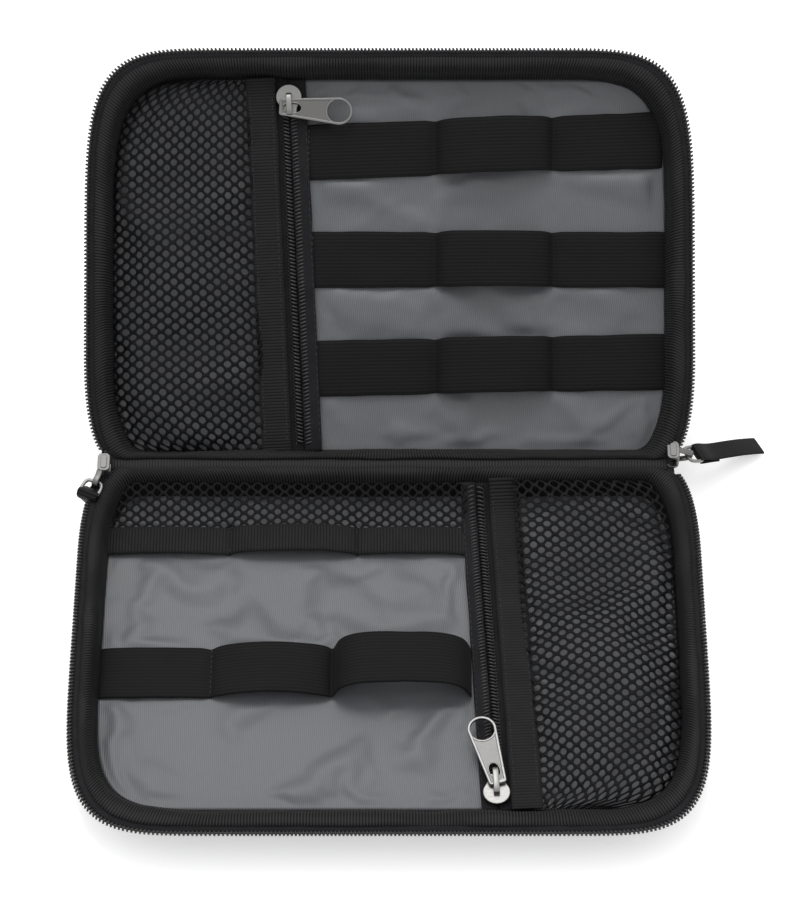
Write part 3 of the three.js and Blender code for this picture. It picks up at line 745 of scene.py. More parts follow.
def floor_lining(half):
    """Satin lining, a little too big for its seams, so that it creases between them."""
    insets = LINING_INSETS[half]
    columns, rows = 86, 60
    top = REACH - insets[1] - 0.4
    v = np.linspace(insets[2] + 0.4, top, rows)
    x = side_at(insets, v)[:, None] * np.linspace(-1, 1, columns)
    points = points_of(x, v[:, None], FLOOR)
    obj = grid_object(f"{half}_lining", place(half, points), v, np.zeros(columns))
    flat_x, flat_v = points[..., 0].ravel(), points[..., 1].ravel()
    loops = np.zeros(len(obj.data.loops), np.int32)
    obj.data.loops.foreach_get("vertex_index", loops)
    uv = points_of(flat_x, flat_v)[loops]
    obj.data.uv_layers[0].data.foreach_set("uv", uv.astype(np.float32).ravel())
    pinned = np.zeros((rows, columns), bool)
    pinned[[0, 1, -2, -1]] = pinned[:, [0, 1, -2, -1]] = True
    pinned = pinned.ravel() | (abs(flat_x - (zip_line(flat_v) + 5)) < 3.5)
    for at, low, high in sewn_lines(half):
        pinned |= (abs(flat_x - at) < 1.4) & (flat_v > low) & (flat_v < high)
    kept = crease(obj, pinned, 0.022, 26, 1.9, LINING_SEED[half])
    rest = place(half, points).reshape(-1, 3)
    up = place(half, [[0, 0, 1]])[0] - place(half, [[0, 0, 0]])[0]
    up /= np.linalg.norm(up)
    kept = kept + up * (0.22 * MM * (~pinned) * smooth_noise(rest / MM, 15, 4.0))[:, None]
    rise = (kept - rest) @ up
    ceiling = np.full(rise.shape, 3.0)
    for left, right, low, slope in covered_strips(half):
        below = flat_v - flat_x * slope
        ceiling[(flat_x > left - 2) & (flat_x < right + 2)
                & (below > low - 2) & (below < low + BAND_WIDTH + 2)] = UNDER_BAND
    beside_zip = flat_x - zip_line(flat_v)
    ceiling[(beside_zip > -17) & (beside_zip < 9)] = UNDER_BAND
    kept = kept + up * (np.clip(rise, -0.25 * MM, ceiling * MM) - rise)[:, None]
    obj.data.vertices.foreach_set("co", kept.astype(np.float32).ravel())
    thicken(smooth_more(obj), 0.6)
    dress(obj, LINING, "grey_lining", half, f"{half}_floor_lining")


# ---------------------------------------------------------------- elastic bands and slip pocket
def arched(cells, lift, steps=26):
    """A stitched band's side view: low at the stitches, with its own arch over each cell."""
    path = []
    for index, (start, end, height, fullness) in enumerate(cells):
        t = np.linspace(0, 1, steps + 1)[(1 if index else 0):]
        spread = (1 - np.abs(2 * t - 1) ** fullness) ** (1 / min(fullness, 2))
        path.append(points_of(start + (end - start) * t, lift + height * spread))
    return np.concatenate(path)


def cable_cells(left, right):
    """A lid band's cells, as (start, end, height, fullness): flat, full in the middle, flat."""
    return [(left, 17.5, 1.4, 3), (17.5, 61, 7.5, 2.6), (61, right, 1.4, 3)]


CASE_LOOP = [(-29.2, 20.0, 12.5, 4.0), (20.0, 64.0, 5.8, 1.7), (64.0, 104.3, 1.4, 3.0)]
BANDS = {
    "base_band": ("base", 73.6, 0.0, CASE_LOOP),
    "lid_band_top": ("lid", 107.5, 0.035, cable_cells(-32, 102.6)),
    "lid_band_middle": ("lid", 66.0, 0.0, cable_cells(-30.5, 104.5)),
    "lid_band_lower": ("lid", 25.5, 0.02, cable_cells(-28.8, 104.5)),
}  # half, place of its lower edge on the middle line, slope, cells
SLIP_CELLS = [(-28.6, 12.0, 1.6, 2.2), (12.0, 59.0, 3.6, 2.0), (59.0, 104.2, 1.6, 2.2)]
SLIP_SEAMS = [cell[1] for cell in SLIP_CELLS[:-1]]
SLIP_WIDTH = 11.2  # of the slip pocket's trim
SLIP_NET_EDGES = (6.3, 23.6)  # its net's near and far edge, from the hinge axis
SLIP_NET_LENGTH = 19.6


def sewn_lines(half):
    """Where stitches hold the lining down, as (x, low, high)."""
    for band_half, v, slope, cells in BANDS.values():
        for x in (cells[0][0], *(cell[1] for cell in cells)):
            if band_half == half:
                yield x, v + slope * x - 1, v + slope * x + BAND_WIDTH + 1
    if half == "base":
        for x in SLIP_SEAMS:
            yield x, 4, 36


def covered_strips(half):
    """Where the lining keeps below a band or the slip pocket, as (left, right, low, slope)."""
    if half == "base":
        yield -28, 104, 14, 0
    for band_half, v, slope, cells in BANDS.values():
        if band_half == half:
            yield cells[0][0], cells[-1][1], v, slope


def band(name):
    """One elastic band: stretched flat or arched over its cells, pinched at its stitches."""
    half, v0, slope, cells = BANDS[name]
    path = arched(cells, 0.45)
    stitches = np.array([cell[1] for cell in cells[:-1]])
    columns = 15
    share = np.linspace(0, 1, columns)
    near = np.exp(-(np.abs(path[:, 0, None] - stitches).min(1) / 2.2) ** 2)
    narrow = 0.45 * near + 0.35 * line_noise(path[:, 0], 19, v0)
    v = v0 + path[:, 0, None] * slope + share * BAND_WIDTH
    v += (0.5 - share) * 2 * (narrow[:, None] * np.abs(2 * share - 1))
    curl = 0.35 * np.abs(2 * share - 1) ** 6
    x = path[:, :1]
    wave = 0.28 * smooth_noise(points_of(x, v, v * 0), 13, v0) * (1 - near[:, None])
    lift = np.maximum(path[:, 1, None] + wave - curl, 0.3)
    points = points_of(x, v, FLOOR + lift)
    obj = grid_object(name + "_elastic", place(half, points), lengths(path), share * BAND_WIDTH)
    dress(thicken(obj, 0.9, 1.0), ELASTIC, "elastic", half, name)
    smooth_more(obj)
    for index, at in enumerate([*stitches, cells[0][0] + 1.6]):
        line = points_of(at, v0 + slope * at + np.linspace(0.6, BAND_WIDTH - 0.6, 40),
                         FLOOR + 1.55 + (0.7 if index == len(stitches) else 0))
        stitch_row(half, f"{name}_stitches_{index}", line, 2.1, 1.6, 0.26)


def slip_pocket():
    """Low net pocket across the base's hinge side, with a ribbed tape along its mouth."""
    path = arched(SLIP_CELLS, 0.6, 60)
    run = lengths(path)
    ribs = round(run[-1] / TRIM_PITCH)
    fine = np.linspace(0, run[-1], ribs * RIB_SAMPLES)
    x, up = (np.interp(fine, run, path[:, axis]) for axis in (0, 1))
    share = np.linspace(0, 1, 9)
    rib = rib_wave(len(fine), 0.13)
    seam = np.exp(-(np.abs(x[:, None] - np.array(SLIP_SEAMS)).min(1) / 1.6) ** 2)
    v = 22.4 + SLIP_WIDTH * share + 0.35 * line_noise(x, 15, 2.0)[:, None]
    level = (FLOOR + 0.35 + up[:, None] + rib[:, None] + 0.35 * np.sin(share * math.pi)
             - 0.25 * seam[:, None])
    points = points_of(x[:, None], v, level)
    along = np.arange(len(fine)) * TRIM_PITCH / RIB_SAMPLES
    trim = grid_object("slip_trim", place("base", points), along, share * SLIP_WIDTH)
    dress(thicken(trim, 0.8, 1.0), SLIP_TRIM, "ribbed_tape", "base", "base_slip_trim")
    for index, at in enumerate(SLIP_SEAMS):
        line = points_of(at, np.linspace(22.9, 33.1, 20), FLOOR + 2.0)
        stitch_row("base", f"slip_stitches_{index}", line, 2.0, 1.5, 0.26)

    near, far = SLIP_NET_EDGES

    def surface(a, b):
        x = np.interp(a, [0, 1], [path[0, 0], path[-1, 0]])
        rise = np.interp(x, path[:, 0], path[:, 1])
        v = near + (far - near) * b
        wave = 0.45 * smooth_noise(points_of(x, v, v * 0), 12, 6.0) * np.sin(b * math.pi)
        slope = NET_CLIMB * (1 - b) ** 1.35
        return points_of(x, v, FLOOR + 0.6 + (rise - 0.2) * b**0.75 + slope + wave)

    width, length = path[-1, 0] - path[0, 0], SLIP_NET_LENGTH
    net = net_piece("base_slip_mesh", "base", surface, width, length, (path[0, 0], near))
    dress(net, NET, "mesh_net", "base", "base_slip_net")


# ---------------------------------------------------------------- nets
CELL_CORNERS = [(2.09, 0.0), (0.41, 2.05), (-0.41, 2.05), (-2.09, 0.0), (-0.41, -2.05), (0.41, -2.05)]
HOLE_REACH = [1.31, 1.24, 1.30, 1.32]  # from a hole's centre to a side knot, strand, knot and top
CELL_POINTS = 12


def net_cell():
    """Outer and inner loops of one net cell, twelve points each."""
    corners = np.array(CELL_CORNERS)
    outer = np.stack([corners, (corners + np.roll(corners, -1, 0)) / 2], 1).reshape(-1, 2)
    side, strand, knot, top = HOLE_REACH
    reach = np.array([side, strand, knot, top, knot, strand] * 2)
    inner = outer / np.linalg.norm(outer, axis=1, keepdims=True) * reach[:, None]
    return outer, inner


def net_piece(name, half, surface, width, length, origin):
    """Net of knotted strands over surface(a, b), with a and b from 0 to 1 over width and length."""
    outer, inner = net_cell()
    rows, columns = int(length / NET_STEP) + 2, int(width / NET_ROW) + 2
    centres = np.array([[i * NET_ROW + (j % 2) * NET_ROW / 2, j * NET_STEP]
                        for j in range(rows) for i in range(columns)])
    inside = (centres[:, 0] < width + 0.5) & (centres[:, 1] < length + 0.5)
    centres = centres[inside]
    flat = np.concatenate([centres[:, None] + outer, centres[:, None] + inner], 1).reshape(-1, 2)
    flat = np.clip(flat, 0, [width, length])
    strand = np.tile(np.repeat([1.0, 0.0], CELL_POINTS), len(centres))
    key = np.round(flat * 200).astype(np.int64)
    _, first, back = np.unique(key[:, 0] * 1000003 + key[:, 1], return_index=True, return_inverse=True)
    flat, strand = flat[first], strand[first]
    a, b = flat[:, 0] / width, flat[:, 1] / length
    step = 0.004
    at = surface(a, b)
    du = surface(np.minimum(a + step, 1), b) - surface(np.maximum(a - step, 0), b)
    dv = surface(a, np.minimum(b + step, 1)) - surface(a, np.maximum(b - step, 0))
    normal = unit(np.cross(du, dv))
    normal *= np.sign(normal[:, 2:] + 1e-9)
    at = at + normal * (0.16 * strand)[:, None]
    faces = []
    for first_point in range(0, len(centres) * 2 * CELL_POINTS, 2 * CELL_POINTS):
        for k in range(CELL_POINTS):
            after = (k + 1) % CELL_POINTS
            face = [k, after, CELL_POINTS + after, CELL_POINTS + k]
            ids = [int(back[first_point + corner]) for corner in face]
            if len(set(ids)) == 4 and cell_area(flat[ids]) > 0.01:
                faces.append(ids)
    uv = (flat[np.array(faces)] + origin).reshape(-1, 2)
    net = mesh_object(name, place(half, at), faces, uv)
    return thicken(net, 0.34, 0.0)


def cell_area(loop):
    """Area of a flat loop of points."""
    x, y = loop[:, 0], loop[:, 1]
    return abs(np.dot(x, np.roll(y, -1)) - np.dot(y, np.roll(x, -1))) / 2


def pocket_net(half):
    """The zipped pocket's net panel, held at its seams and full in the middle."""
    near, far = NET_START[half], REACH - NET_FAR[half]
    rows, columns = 46, 20
    b, a = np.meshgrid(np.linspace(0, 1, rows), np.linspace(0, 1, columns), indexing="ij")
    v = near + (far - near) * b
    wall = -side_at(NET_INSETS[half], np.minimum(v, far - 0.6))
    across = zip_line(v, -13.5) - wall
    x = wall + across * a
    full = (1 - np.abs(2 * a - 1) ** 2.6) ** 0.9 * (1 - np.abs(2 * b - 1) ** 5) ** 0.8
    rim = 1.6 + 1.6 * a
    folds = 0.9 * np.sin((x * 0.8 + v) / 9.5) + 0.8 * np.sin((x - 0.6 * v) / 7.3)
    dome = (NET_DOME[half] + folds) * full - 0.9 * full
    rise = (NET_CLIMB if half == "base" else 0.0) * (1 - b) ** 3
    points = points_of(x, v, FLOOR + rim + np.hypot(dome, rise - 0.8 * a * (1 - b) ** 3))
    pinned = np.zeros((rows, columns), bool)
    pinned[[0, -1]] = pinned[:, [0, -1]] = True
    panel = grid_object(f"{half}_net_cloth", place(half, points), v[:, 0], x[0])
    kept = crease(panel, pinned.ravel(), 0.018, 22, 1.8, NET_SEED[half])
    bpy.data.objects.remove(panel)
    local = unplace(half, kept).reshape(rows, columns, 3)
    width, length = float(np.mean(across[:, 0])), far - near

    def surface(a, b):
        i, j = np.clip(b, 0, 1) * (rows - 1), np.clip(a, 0, 1) * (columns - 1)
        i0, j0 = np.minimum(i.astype(int), rows - 2), np.minimum(j.astype(int), columns - 2)
        s, t = (i - i0)[:, None], (j - j0)[:, None]
        low = local[i0, j0] * (1 - t) + local[i0, j0 + 1] * t
        high = local[i0 + 1, j0] * (1 - t) + local[i0 + 1, j0 + 1] * t
        return low * (1 - s) + high * s

    net = net_piece(f"{half}_pocket_mesh", half, surface, width, length, (0.0, near))
    dress(net, NET, "mesh_net", half, f"{half}_pocket_net")


# ---------------------------------------------------------------- pocket zips
def zip_run(half):
    """Where a pocket's zip starts and ends, along itself."""
    return ZIP_START - ZIP_V, ZIP_END[half] - ZIP_V


def climb(half, along):
    """How far the base's zip rises up the hinge wall at a place along it."""
    start = zip_run(half)[0]
    return WALL_CLIMB[half] * np.clip(1 - (np.asarray(along, float) - start + 1.2) / 15, 0, 1) ** 2


def zip_strip(name, half, look, edges, lift, node, pitch=None, thickness=0.75, curl=0.25):
    """A strip beside the pocket's zip, ribbed across its width when it has a pitch."""
    start, end = zip_run(half)[0] - ZIP_LEAD[half], zip_run(half)[1] + ZIP_TUCK[half]
    step = pitch / RIB_SAMPLES if pitch else 1.2
    along = np.arange(start, end, step)
    share = np.linspace(0, 1, 11)
    across = edges[0] + (edges[1] - edges[0]) * share
    roll = curl * (1 - np.abs(2 * share - 1) ** 4)
    rib = rib_wave(len(along), 0.17 if pitch else 0)
    wander = 0.3 * line_noise(along, 21, edges[0])
    height = 0.3 * line_noise(along, 15, edges[1])
    points = points_of(across + wander[:, None] * (2 * share - 1), along[:, None],
                       lift + roll + (rib + height + climb(half, along))[:, None])
    strip = grid_object(name, place(half, along_zip(points)), along - start, across - edges[0])
    dress(thicken(strip, thickness), look, "ribbed_tape", half, node)


def zip_stitches(half, name, across, level):
    """A row of stitches beside a pocket's zip."""
    start, end = zip_run(half)
    along = np.linspace(start + 1, end - 1, 200)
    line = along_zip(points_of(across, along, level + climb(half, along)))
    stitch_row(half, f"{half}_{name}", line, 2.6, 1.9, 0.22)


def coil_row(half, side):
    """One row of nylon coil: every turn leans over the row and hooks into the other one."""
    start, end = zip_run(half)
    turns = np.arange(start + 0.4, end - 0.4, TEETH_PITCH)
    turn = [(3.0, -0.62, 1.7), (2.9, -0.5, 2.35), (2.2, -0.25, 2.75), (1.4, 0.02, 2.85),
            (0.7, 0.24, 2.72), (0.35, 0.3, 2.3), (0.6, 0.2, 1.85)]  # across, back along the zip, up
    shift = 0.0 if side > 0 else TEETH_PITCH / 2
    paths = np.stack([points_of(side * a, turns + shift - b, up + climb(half, turns)) for a, b, up in turn], 1)
    coil = tubes("coil", place(half, along_zip(paths)), [0.32, 0.4, 0.43, 0.43, 0.43, 0.4, 0.32])
    along = np.linspace(start, end, 90)
    seam = points_of(side * 2.95, along, 2.15 + climb(half, along))
    cord = tubes("seam", place(half, along_zip(seam))[None], [0.3])
    edge = "outer" if side > 0 else "inner"
    row = join(f"{half}_coil_{edge}", coil, cord)
    dress(row, COIL, "zip_teeth", half, f"{half}_pocket_coil_{edge}")


def circle(radius, centre=(0.0, 0.0), count=28):
    angle = np.arange(count) * 2 * math.pi / count
    return points_of(centre[0] + radius * np.cos(angle), centre[1] + radius * np.sin(angle))


def rounded(width, length, radius, centre=(0.0, 0.0), count=6):
    points = []
    for index, (sx, sy) in enumerate(((1, 1), (-1, 1), (-1, -1), (1, -1))):
        angle = (index + np.linspace(0, 1, count)) * math.pi / 2
        points.append(points_of(centre[0] + sx * (width / 2 - radius) + radius * np.cos(angle),
                                centre[1] + sy * (length / 2 - radius) + radius * np.sin(angle)))
    return np.concatenate(points)


def shield_loop(grow=0.0):
    """Outline of a slider's plate: a round crown that narrows to a straight tail."""
    angle = np.linspace(-0.35, math.pi + 0.35, 22)
    crown = points_of((4.8 + grow) * np.cos(angle), 1.2 + (4.8 + grow) * np.sin(angle))
    tail = np.array([[-2.9 - grow, -3.0], [-2.6 - grow, -6.0 - grow], [2.6 + grow, -6.0 - grow],
                     [2.9 + grow, -3.0]])
    return np.concatenate([crown, tail])


def frame_matrix(origin, x, y, z):
    """Places millimetres with these axes at a point in metres."""
    return Matrix([[*(Vector(axis).normalized()[i] for axis in (x, y, z)), origin[i]]
                   for i in range(3)] + [[0, 0, 0, 1]])


def zip_frame(half, along):
    """Matrix that sets metres of (across, along, up) on a pocket's zip."""
    points = place(half, along_zip([[0, along, 0], [1, along, 0], [0, along + 1, 0], [0, along, 1]]))
    return frame_matrix(points[0], *(points[1:] - points[0]))


def pocket_slider(half):
    """Slider of a pocket's zip: two plates on a neck, two lips and a long bail."""
    along = zip_run(half)[1] - 6.5
    crown = plate("crown", [shield_loop()], 3.55, 4.55, 0.3, 3)
    under = plate("under", [shield_loop(-0.1)], 0.45, 1.15, 0.2)
    neck = plate("neck", [rounded(2.0, 2.4, 0.9, (0, 4.0))], 1.0, 3.8, 0.15)
    lips = [plate("lip", [rounded(0.8, 3.6, 0.35, (side * 4.05, 1.3))], 2.6, 3.9, 0.2)
            for side in (-1, 1)]
    reach = CROWN_REACH[half]
    bridge = np.array([[0, 2.5 + reach, 4.4], [0, 2.35 + reach, 5.4], [0, 1.9 + reach, 6.2],
                       [0, 1.1 + 0.9 * reach, 6.7], [0, 0.1 + 0.5 * reach, 7.0], [0, -1.0, 7.0],
                       [0, -2.1, 6.85], [0, -2.9, 6.4], [0, -3.3, 5.6], [0, -3.4, 4.4]])
    bail = strap_mesh("bail", bridge * MM, (1, 0, 0), 2.1, 0.7, samples=6)
    plates = join(f"{half}_slider_plates", crown, under, neck, *lips)
    moved(plates, Matrix.Translation((0, reach * MM, 0)))
    obj = join(f"{half}_slider", plates, bail)
    moved(obj, zip_frame(half, along))
    dress(obj, NICKEL, "nickel", f"{half}_pocket_slider", f"{half}_pocket_slider")


def strap_mesh(name, path, side, width, thickness, samples):
    """A closed strip of rounded section along a path in metres, flat across a side direction."""
    path = spline(path, samples)
    ahead = tangents(path)
    one_side = np.ndim(side[0]) == 0
    side = np.tile(np.array(side, float), (len(path), 1)) if one_side else spline(side, samples)
    side = unit(side - (side * ahead).sum(1, keepdims=True) * ahead)
    up = np.cross(side, ahead)
    sides, count = STRAP_SIDES, len(path)
    angle = np.arange(sides) * 2 * math.pi / sides
    c, s = np.cos(angle), np.sin(angle)
    across = np.sign(c) * np.abs(c) ** 0.35 * width / 2
    lift = np.sign(s) * np.abs(s) ** 0.6 * thickness / 2
    points = path[:, None] + (side[:, None] * across[None, :, None] + up[:, None] * lift[None, :, None]) * MM
    faces, corners = grid_faces(count, sides, closed_columns=True)
    around = np.append(across, across[0])
    uv = points_of((lengths(path) / MM)[corners[..., 0]], around[corners[..., 1]]).reshape(-1, 2)
    end = np.arange(sides)
    caps = [end[::-1].tolist(), (end + (count - 1) * sides).tolist()]
    uv = np.concatenate([uv, np.zeros((2 * sides, 2))])
    return mesh_object(name, points.reshape(-1, 3), faces.tolist() + caps, uv)


def puller_loops():
    """Outline, finger hole and seat hole of a zip puller."""
    far, near = 21.8, -0.7
    head = np.linspace(-math.pi / 2, math.pi / 2, 25)
    tip = points_of(far + 5.2 * np.cos(head), 5.2 * np.sin(head))
    back = np.linspace(math.pi / 2, 1.5 * math.pi, 9)
    heel = points_of(near + 1.2 + 1.2 * np.cos(back), np.where(np.sin(back) > 0, 2.0, -2.0)
                     + 1.2 * np.sin(back))
    body = np.concatenate([tip, heel])
    hole = circle(4.35, (far, 0), 36)
    angle = np.linspace(0, 2 * math.pi, 30, endpoint=False)
    seat = points_of(4.2 + 3.4 * np.cos(angle), (1.75 + 0.35 * np.cos(angle)) * np.sin(angle))
    return body, hole, seat


def inset_loop(loop, amount):
    """A closed loop moved inwards by an amount."""
    ahead = np.roll(loop, -1, 0) - np.roll(loop, 1, 0)
    normal = unit(points_of(-ahead[:, 1], ahead[:, 0]))
    area = np.sum(loop[:, 0] * np.roll(loop[:, 1], -1) - loop[:, 1] * np.roll(loop[:, 0], -1))
    return loop + normal * amount * np.sign(area)


def puller(half):
    """Die-cast puller: a bright raised rim round a satin face, with its two holes."""
    joint = JOINTS[f"{half}_puller_flip"]
    body, hole, seat = puller_loops()
    face = [inset_loop(body, 0.25), inset_loop(hole, -0.3), inset_loop(seat, -0.2)]
    core = plate("core", face, -0.36, 0.36, 0.1)
    rim = plate("rim", [body, inset_loop(body, 1.0)], -0.55, 0.6, 0.26, 3)
    hole_rim = plate("hole_rim", [inset_loop(hole, -0.75), hole], -0.5, 0.52, 0.22, 3)
    seat_rim = plate("seat_rim", [inset_loop(seat, -0.5), seat], -0.5, 0.52, 0.2, 3)
    y = -Vector(joint["axis"])
    n = Vector((0, 0, 1)) if half == "base" else Vector((0, -math.sin(TILT), math.cos(TILT)))
    matrix = frame_matrix(joint["pos_m"], y.cross(n), y, n)
    for piece in (core, rim, hole_rim, seat_rim):
        moved(piece, matrix)
    bright = join(f"{half}_puller_rim", rim, hole_rim, seat_rim)
    dress(bright, RIM, "nickel", f"{half}_pocket_puller", f"{half}_pocket_puller")
    core.name = f"{half}_puller_face"
    dress(core, SATIN, "nickel", f"{half}_pocket_puller")


def pocket_zip(half):
    """Trim, tapes, stitches, coils, slider and puller of one pocket."""
    zip_strip(f"{half}_trim", half, TRIM, (-15.9, -5.0), 3.5, f"{half}_pocket_trim", TRIM_PITCH)
    zip_strip(f"{half}_tape_inner", half, TAPE, (-13.0, 0.1), 1.55, f"{half}_pocket_tape_inner",
              thickness=0.5, curl=0.0)
    zip_strip(f"{half}_tape_outer", half, TAPE, (0.15, TAPE_EDGE[half]), 1.85,
              f"{half}_pocket_tape_outer", thickness=0.7, curl=0.2)
    zip_stitches(half, "trim_stitches_near", -6.3, 4.35)
    zip_stitches(half, "trim_stitches_far", -14.6, 4.35)
    zip_stitches(half, "tape_stitches", TAPE_EDGE[half] - 0.5, 2.6)
    coil_row(half, 1)
    coil_row(half, -1)
    pocket_slider(half)
    puller(half)


# ---------------------------------------------------------------- hinge, main sliders and straps
def spine():
    """Folded fabric between the halves: a ribbed roll inside and plain fabric outside."""
    width = HALF_WIDTH - 11.0
    ribs = round(2 * width / RIB_PITCH)
    x = np.linspace(-width, width, ribs * RIB_SAMPLES)
    rib = rib_wave(len(x), 0.14)
    turn = np.linspace(-0.15, math.pi + 0.15, 13)
    centre = np.array([HINGE[1], HINGE[2]]) / MM + [0, -1.6]
    sag = 0.5 * line_noise(x, 24, 8.0)
    y = centre[0] + 1.9 * np.cos(turn)[None, :]
    z = centre[1] + (0.8 + rib[:, None] + 0.3 * sag[:, None]) * np.sin(turn)[None, :]
    fade = np.clip((width - np.abs(x)) / 2.5, 0.1, 1) ** 0.5
    z = centre[1] + (z - centre[1]) * fade[:, None]
    points = points_of(x[:, None], y, z) * MM
    roll = grid_object("spine_roll", points, x + width, np.arange(len(turn)) * 0.45)
    thicken(roll, 0.7)
    dress(roll, GUSSET, "ribbed_tape", None, "spine_cord")
    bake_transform(roll)


def spine_cover():
    """Outer fabric that joins the two hinge walls, slack between them."""
    width = HALF_WIDTH - 8.0
    x = np.linspace(-width, width, 160)
    profile = spline([(-0.65, -12.0), (-0.65, -8.0), (-0.5, -4.8), (0.2, -3.2), (1.3, -2.7), (2.4, -3.1),
                      (3.6, -4.8), (4.9, -6.8), (6.2, -8.8)], 3)
    wave = 0.3 * line_noise(x, 11, 3.0)
    slack = np.exp(-((profile[:, 0] - 1.0) / 1.2) ** 2)
    flare = np.clip((np.abs(x) - 96) / 6, 0, 1)[:, None]
    toward_base, toward_lid = np.clip(-profile[:, 0] / 0.65, 0, 1), np.clip(profile[:, 0] / 6.2, 0, 1)
    y = HINGE[1] / MM + profile[:, 0] + flare * (7.0 * toward_lid - 7.5 * toward_base)
    z = DEPTH + profile[:, 1] + wave[:, None] * slack + flare * (4.4 * toward_lid + 4.0 * toward_base)
    points = points_of(x[:, None], y, z) * MM
    cover = grid_object("spine_cover", points, x + width, lengths(profile))
    thicken(cover, 0.5, 0.0)
    dress(cover, OUTER, "outer_fabric", None)
    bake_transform(cover)


def wire_ring(name, path, radius):
    """A closed round wire along a flat loop of points in millimetres."""
    ahead = np.roll(path, -1, 0) - np.roll(path, 1, 0)
    normal = unit(points_of(-ahead[:, 1], ahead[:, 0]))
    turn = np.arange(12) * math.pi / 6
    rings = path[:, None] + radius * np.cos(turn)[None, :, None] * normal[:, None]
    lift = np.repeat(radius * np.sin(turn)[None], len(path), 0)
    points = np.concatenate([rings, lift[..., None]], -1) * MM
    return grid_object(name, points, np.arange(len(path) + 1), np.arange(len(turn) + 1), True, True)


def wire_loop(name, matrix, body, node):
    """The bent wire that joins a main slider to its strap."""
    corners = np.array([[0.9, -2.4], [2.6, -3.4], [5.6, -3.4], [6.5, -2.0], [6.6, 0.0]])
    path = np.concatenate([corners, (corners * [1, -1])[-2::-1], [[0.75, 0.0]]])
    smooth = spline(np.concatenate([path[-2:], path, path[:2]]), 5)[10:-10]
    loop = wire_ring(name, smooth, WIRE_RADIUS)
    tuck(node.split("_")[0], moved(loop, matrix))
    return dress(loop, NICKEL, "nickel", body, node)


SLIDER_Y = HINGE[1] / MM + 2.5
SLIDER_X = (107.8, 112.4)
TUCKED = {"right": Vector((-4.6, 1.0, 0)) * MM, "left": Vector((4.2, -4.4, 0)) * MM}  # into the corners


def tuck(side, *objects):
    """Moves one main slider's pieces from the CAD's parking place into the pouch's corner."""
    for obj in objects:
        obj.data.transform(Matrix.Translation(TUCKED[side]))


def main_slider(side, body, bail, across):
    """Slider of the long zip: two rounded plates on a web, with a bail for its wire loop."""
    inner, outer = (side * x for x in SLIDER_X)
    face = rounded(4.6, 7.8, 1.7, ((inner + outer) / 2, SLIDER_Y))
    crest = rounded(2.4, 6.0, 1.1, ((inner + outer) / 2, SLIDER_Y))
    web = rounded(1.5, 6.4, 0.7, (outer - side * 0.75, SLIDER_Y))
    pieces = [plate("top", [face], DEPTH + 2.4, DEPTH + 3.4, 0.28, 3),
              plate("crest", [crest], DEPTH + 3.3, DEPTH + 3.75, 0.2, 3),
              plate("bottom", [face], DEPTH - 3.4, DEPTH - 2.4, 0.28, 3),
              plate("web", [web], DEPTH - 2.6, DEPTH + 2.6, 0.15),
              strap_mesh("bail", np.array(bail) * MM, across, 2.2, 0.8, 5)]
    slider = join(body + "_body", *pieces)
    tuck(body.split("_")[0], slider)
    dress(slider, SATIN, "nickel", body, body)


def webbing_strap(name, path, side, body, node):
    strap = strap_mesh(name, np.array(path) * MM, side, STRAP_WIDTH, 0.95, 8)
    tuck(node.split("_")[0], strap)
    dress(strap, WEBBING, "webbing", body, node)


def right_pull():
    """Wire loop and the folded webbing strap that droops from it to the ground."""
    origin = np.array(JOINTS["right_pull_swing"]["pos_m"]) / MM
    tip = np.array([145.0, HINGE[1] / MM + 18, 1.6])
    along = (tip - origin) / np.linalg.norm(tip - origin)
    across = np.array([-along[1], along[0], 0])
    across /= np.linalg.norm(across)
    up = np.cross(along, across)
    wire_loop("right_loop", frame_matrix(origin * MM, along, across, up), "right_pull", "right_pull_loop")
    reach = np.linalg.norm(tip - origin)
    fold = [(15.0, -1.1), (11.0, -1.15), (8.0, -1.25), (6.0, -1.2), (5.15, -0.2), (5.8, 0.9), (8.0, 1.0),
            (11.5, 0.35), (15.0, 0.1), (20.0, 0.3), (26.0, 0.45), (32.0, 0.25), (reach - 0.4, -0.15)]
    path = [origin + along * a + up * b for a, b in fold]
    webbing_strap("right_strap", path, across, "right_pull", "right_pull_strap")


def left_pull():
    """Wire loop that points forwards; its strap is folded round it and tucked back under the lid."""
    wire = np.array(JOINTS["left_pull_swing"]["pos_m"]) / MM
    heading = -math.pi / 2 - 0.4
    along = np.array([math.cos(heading), math.sin(heading), 0])
    across = np.array([-along[1], along[0], 0])
    matrix = frame_matrix((wire - along * 6.5) * MM, along, across, (0, 0, 1))
    wire_loop("left_loop", matrix, "left_zip_slider", "left_pull_loop")
    upright = np.array([0, 0, 1.0])
    path = [(1.6, 4.4, -4.2), (0.9, 2.8, -2.3), (0.5, 1.4, -0.2), (0, 0, 1.15), (-0.6, -1.3, 0.2),
            (-0.5, -1.1, -2.2), (0.1, 0.4, -5.4), (1.0, 3.0, -9.0), (2.0, 7.0, -11.9), (2.6, 12.0, -12.9),
            (3.1, 22.0, -13.1), (3.6, 32.0, -13.2), (4.1, 41.6, -13.2)]
    sides = [across] * 7 + [across * 0.8 + upright * 0.4, across * 0.4 + upright * 0.8] + [upright] * 4
    path = [wire + point for point in path]
    webbing_strap("left_strap", path, sides, "left_pull", "left_pull_strap")


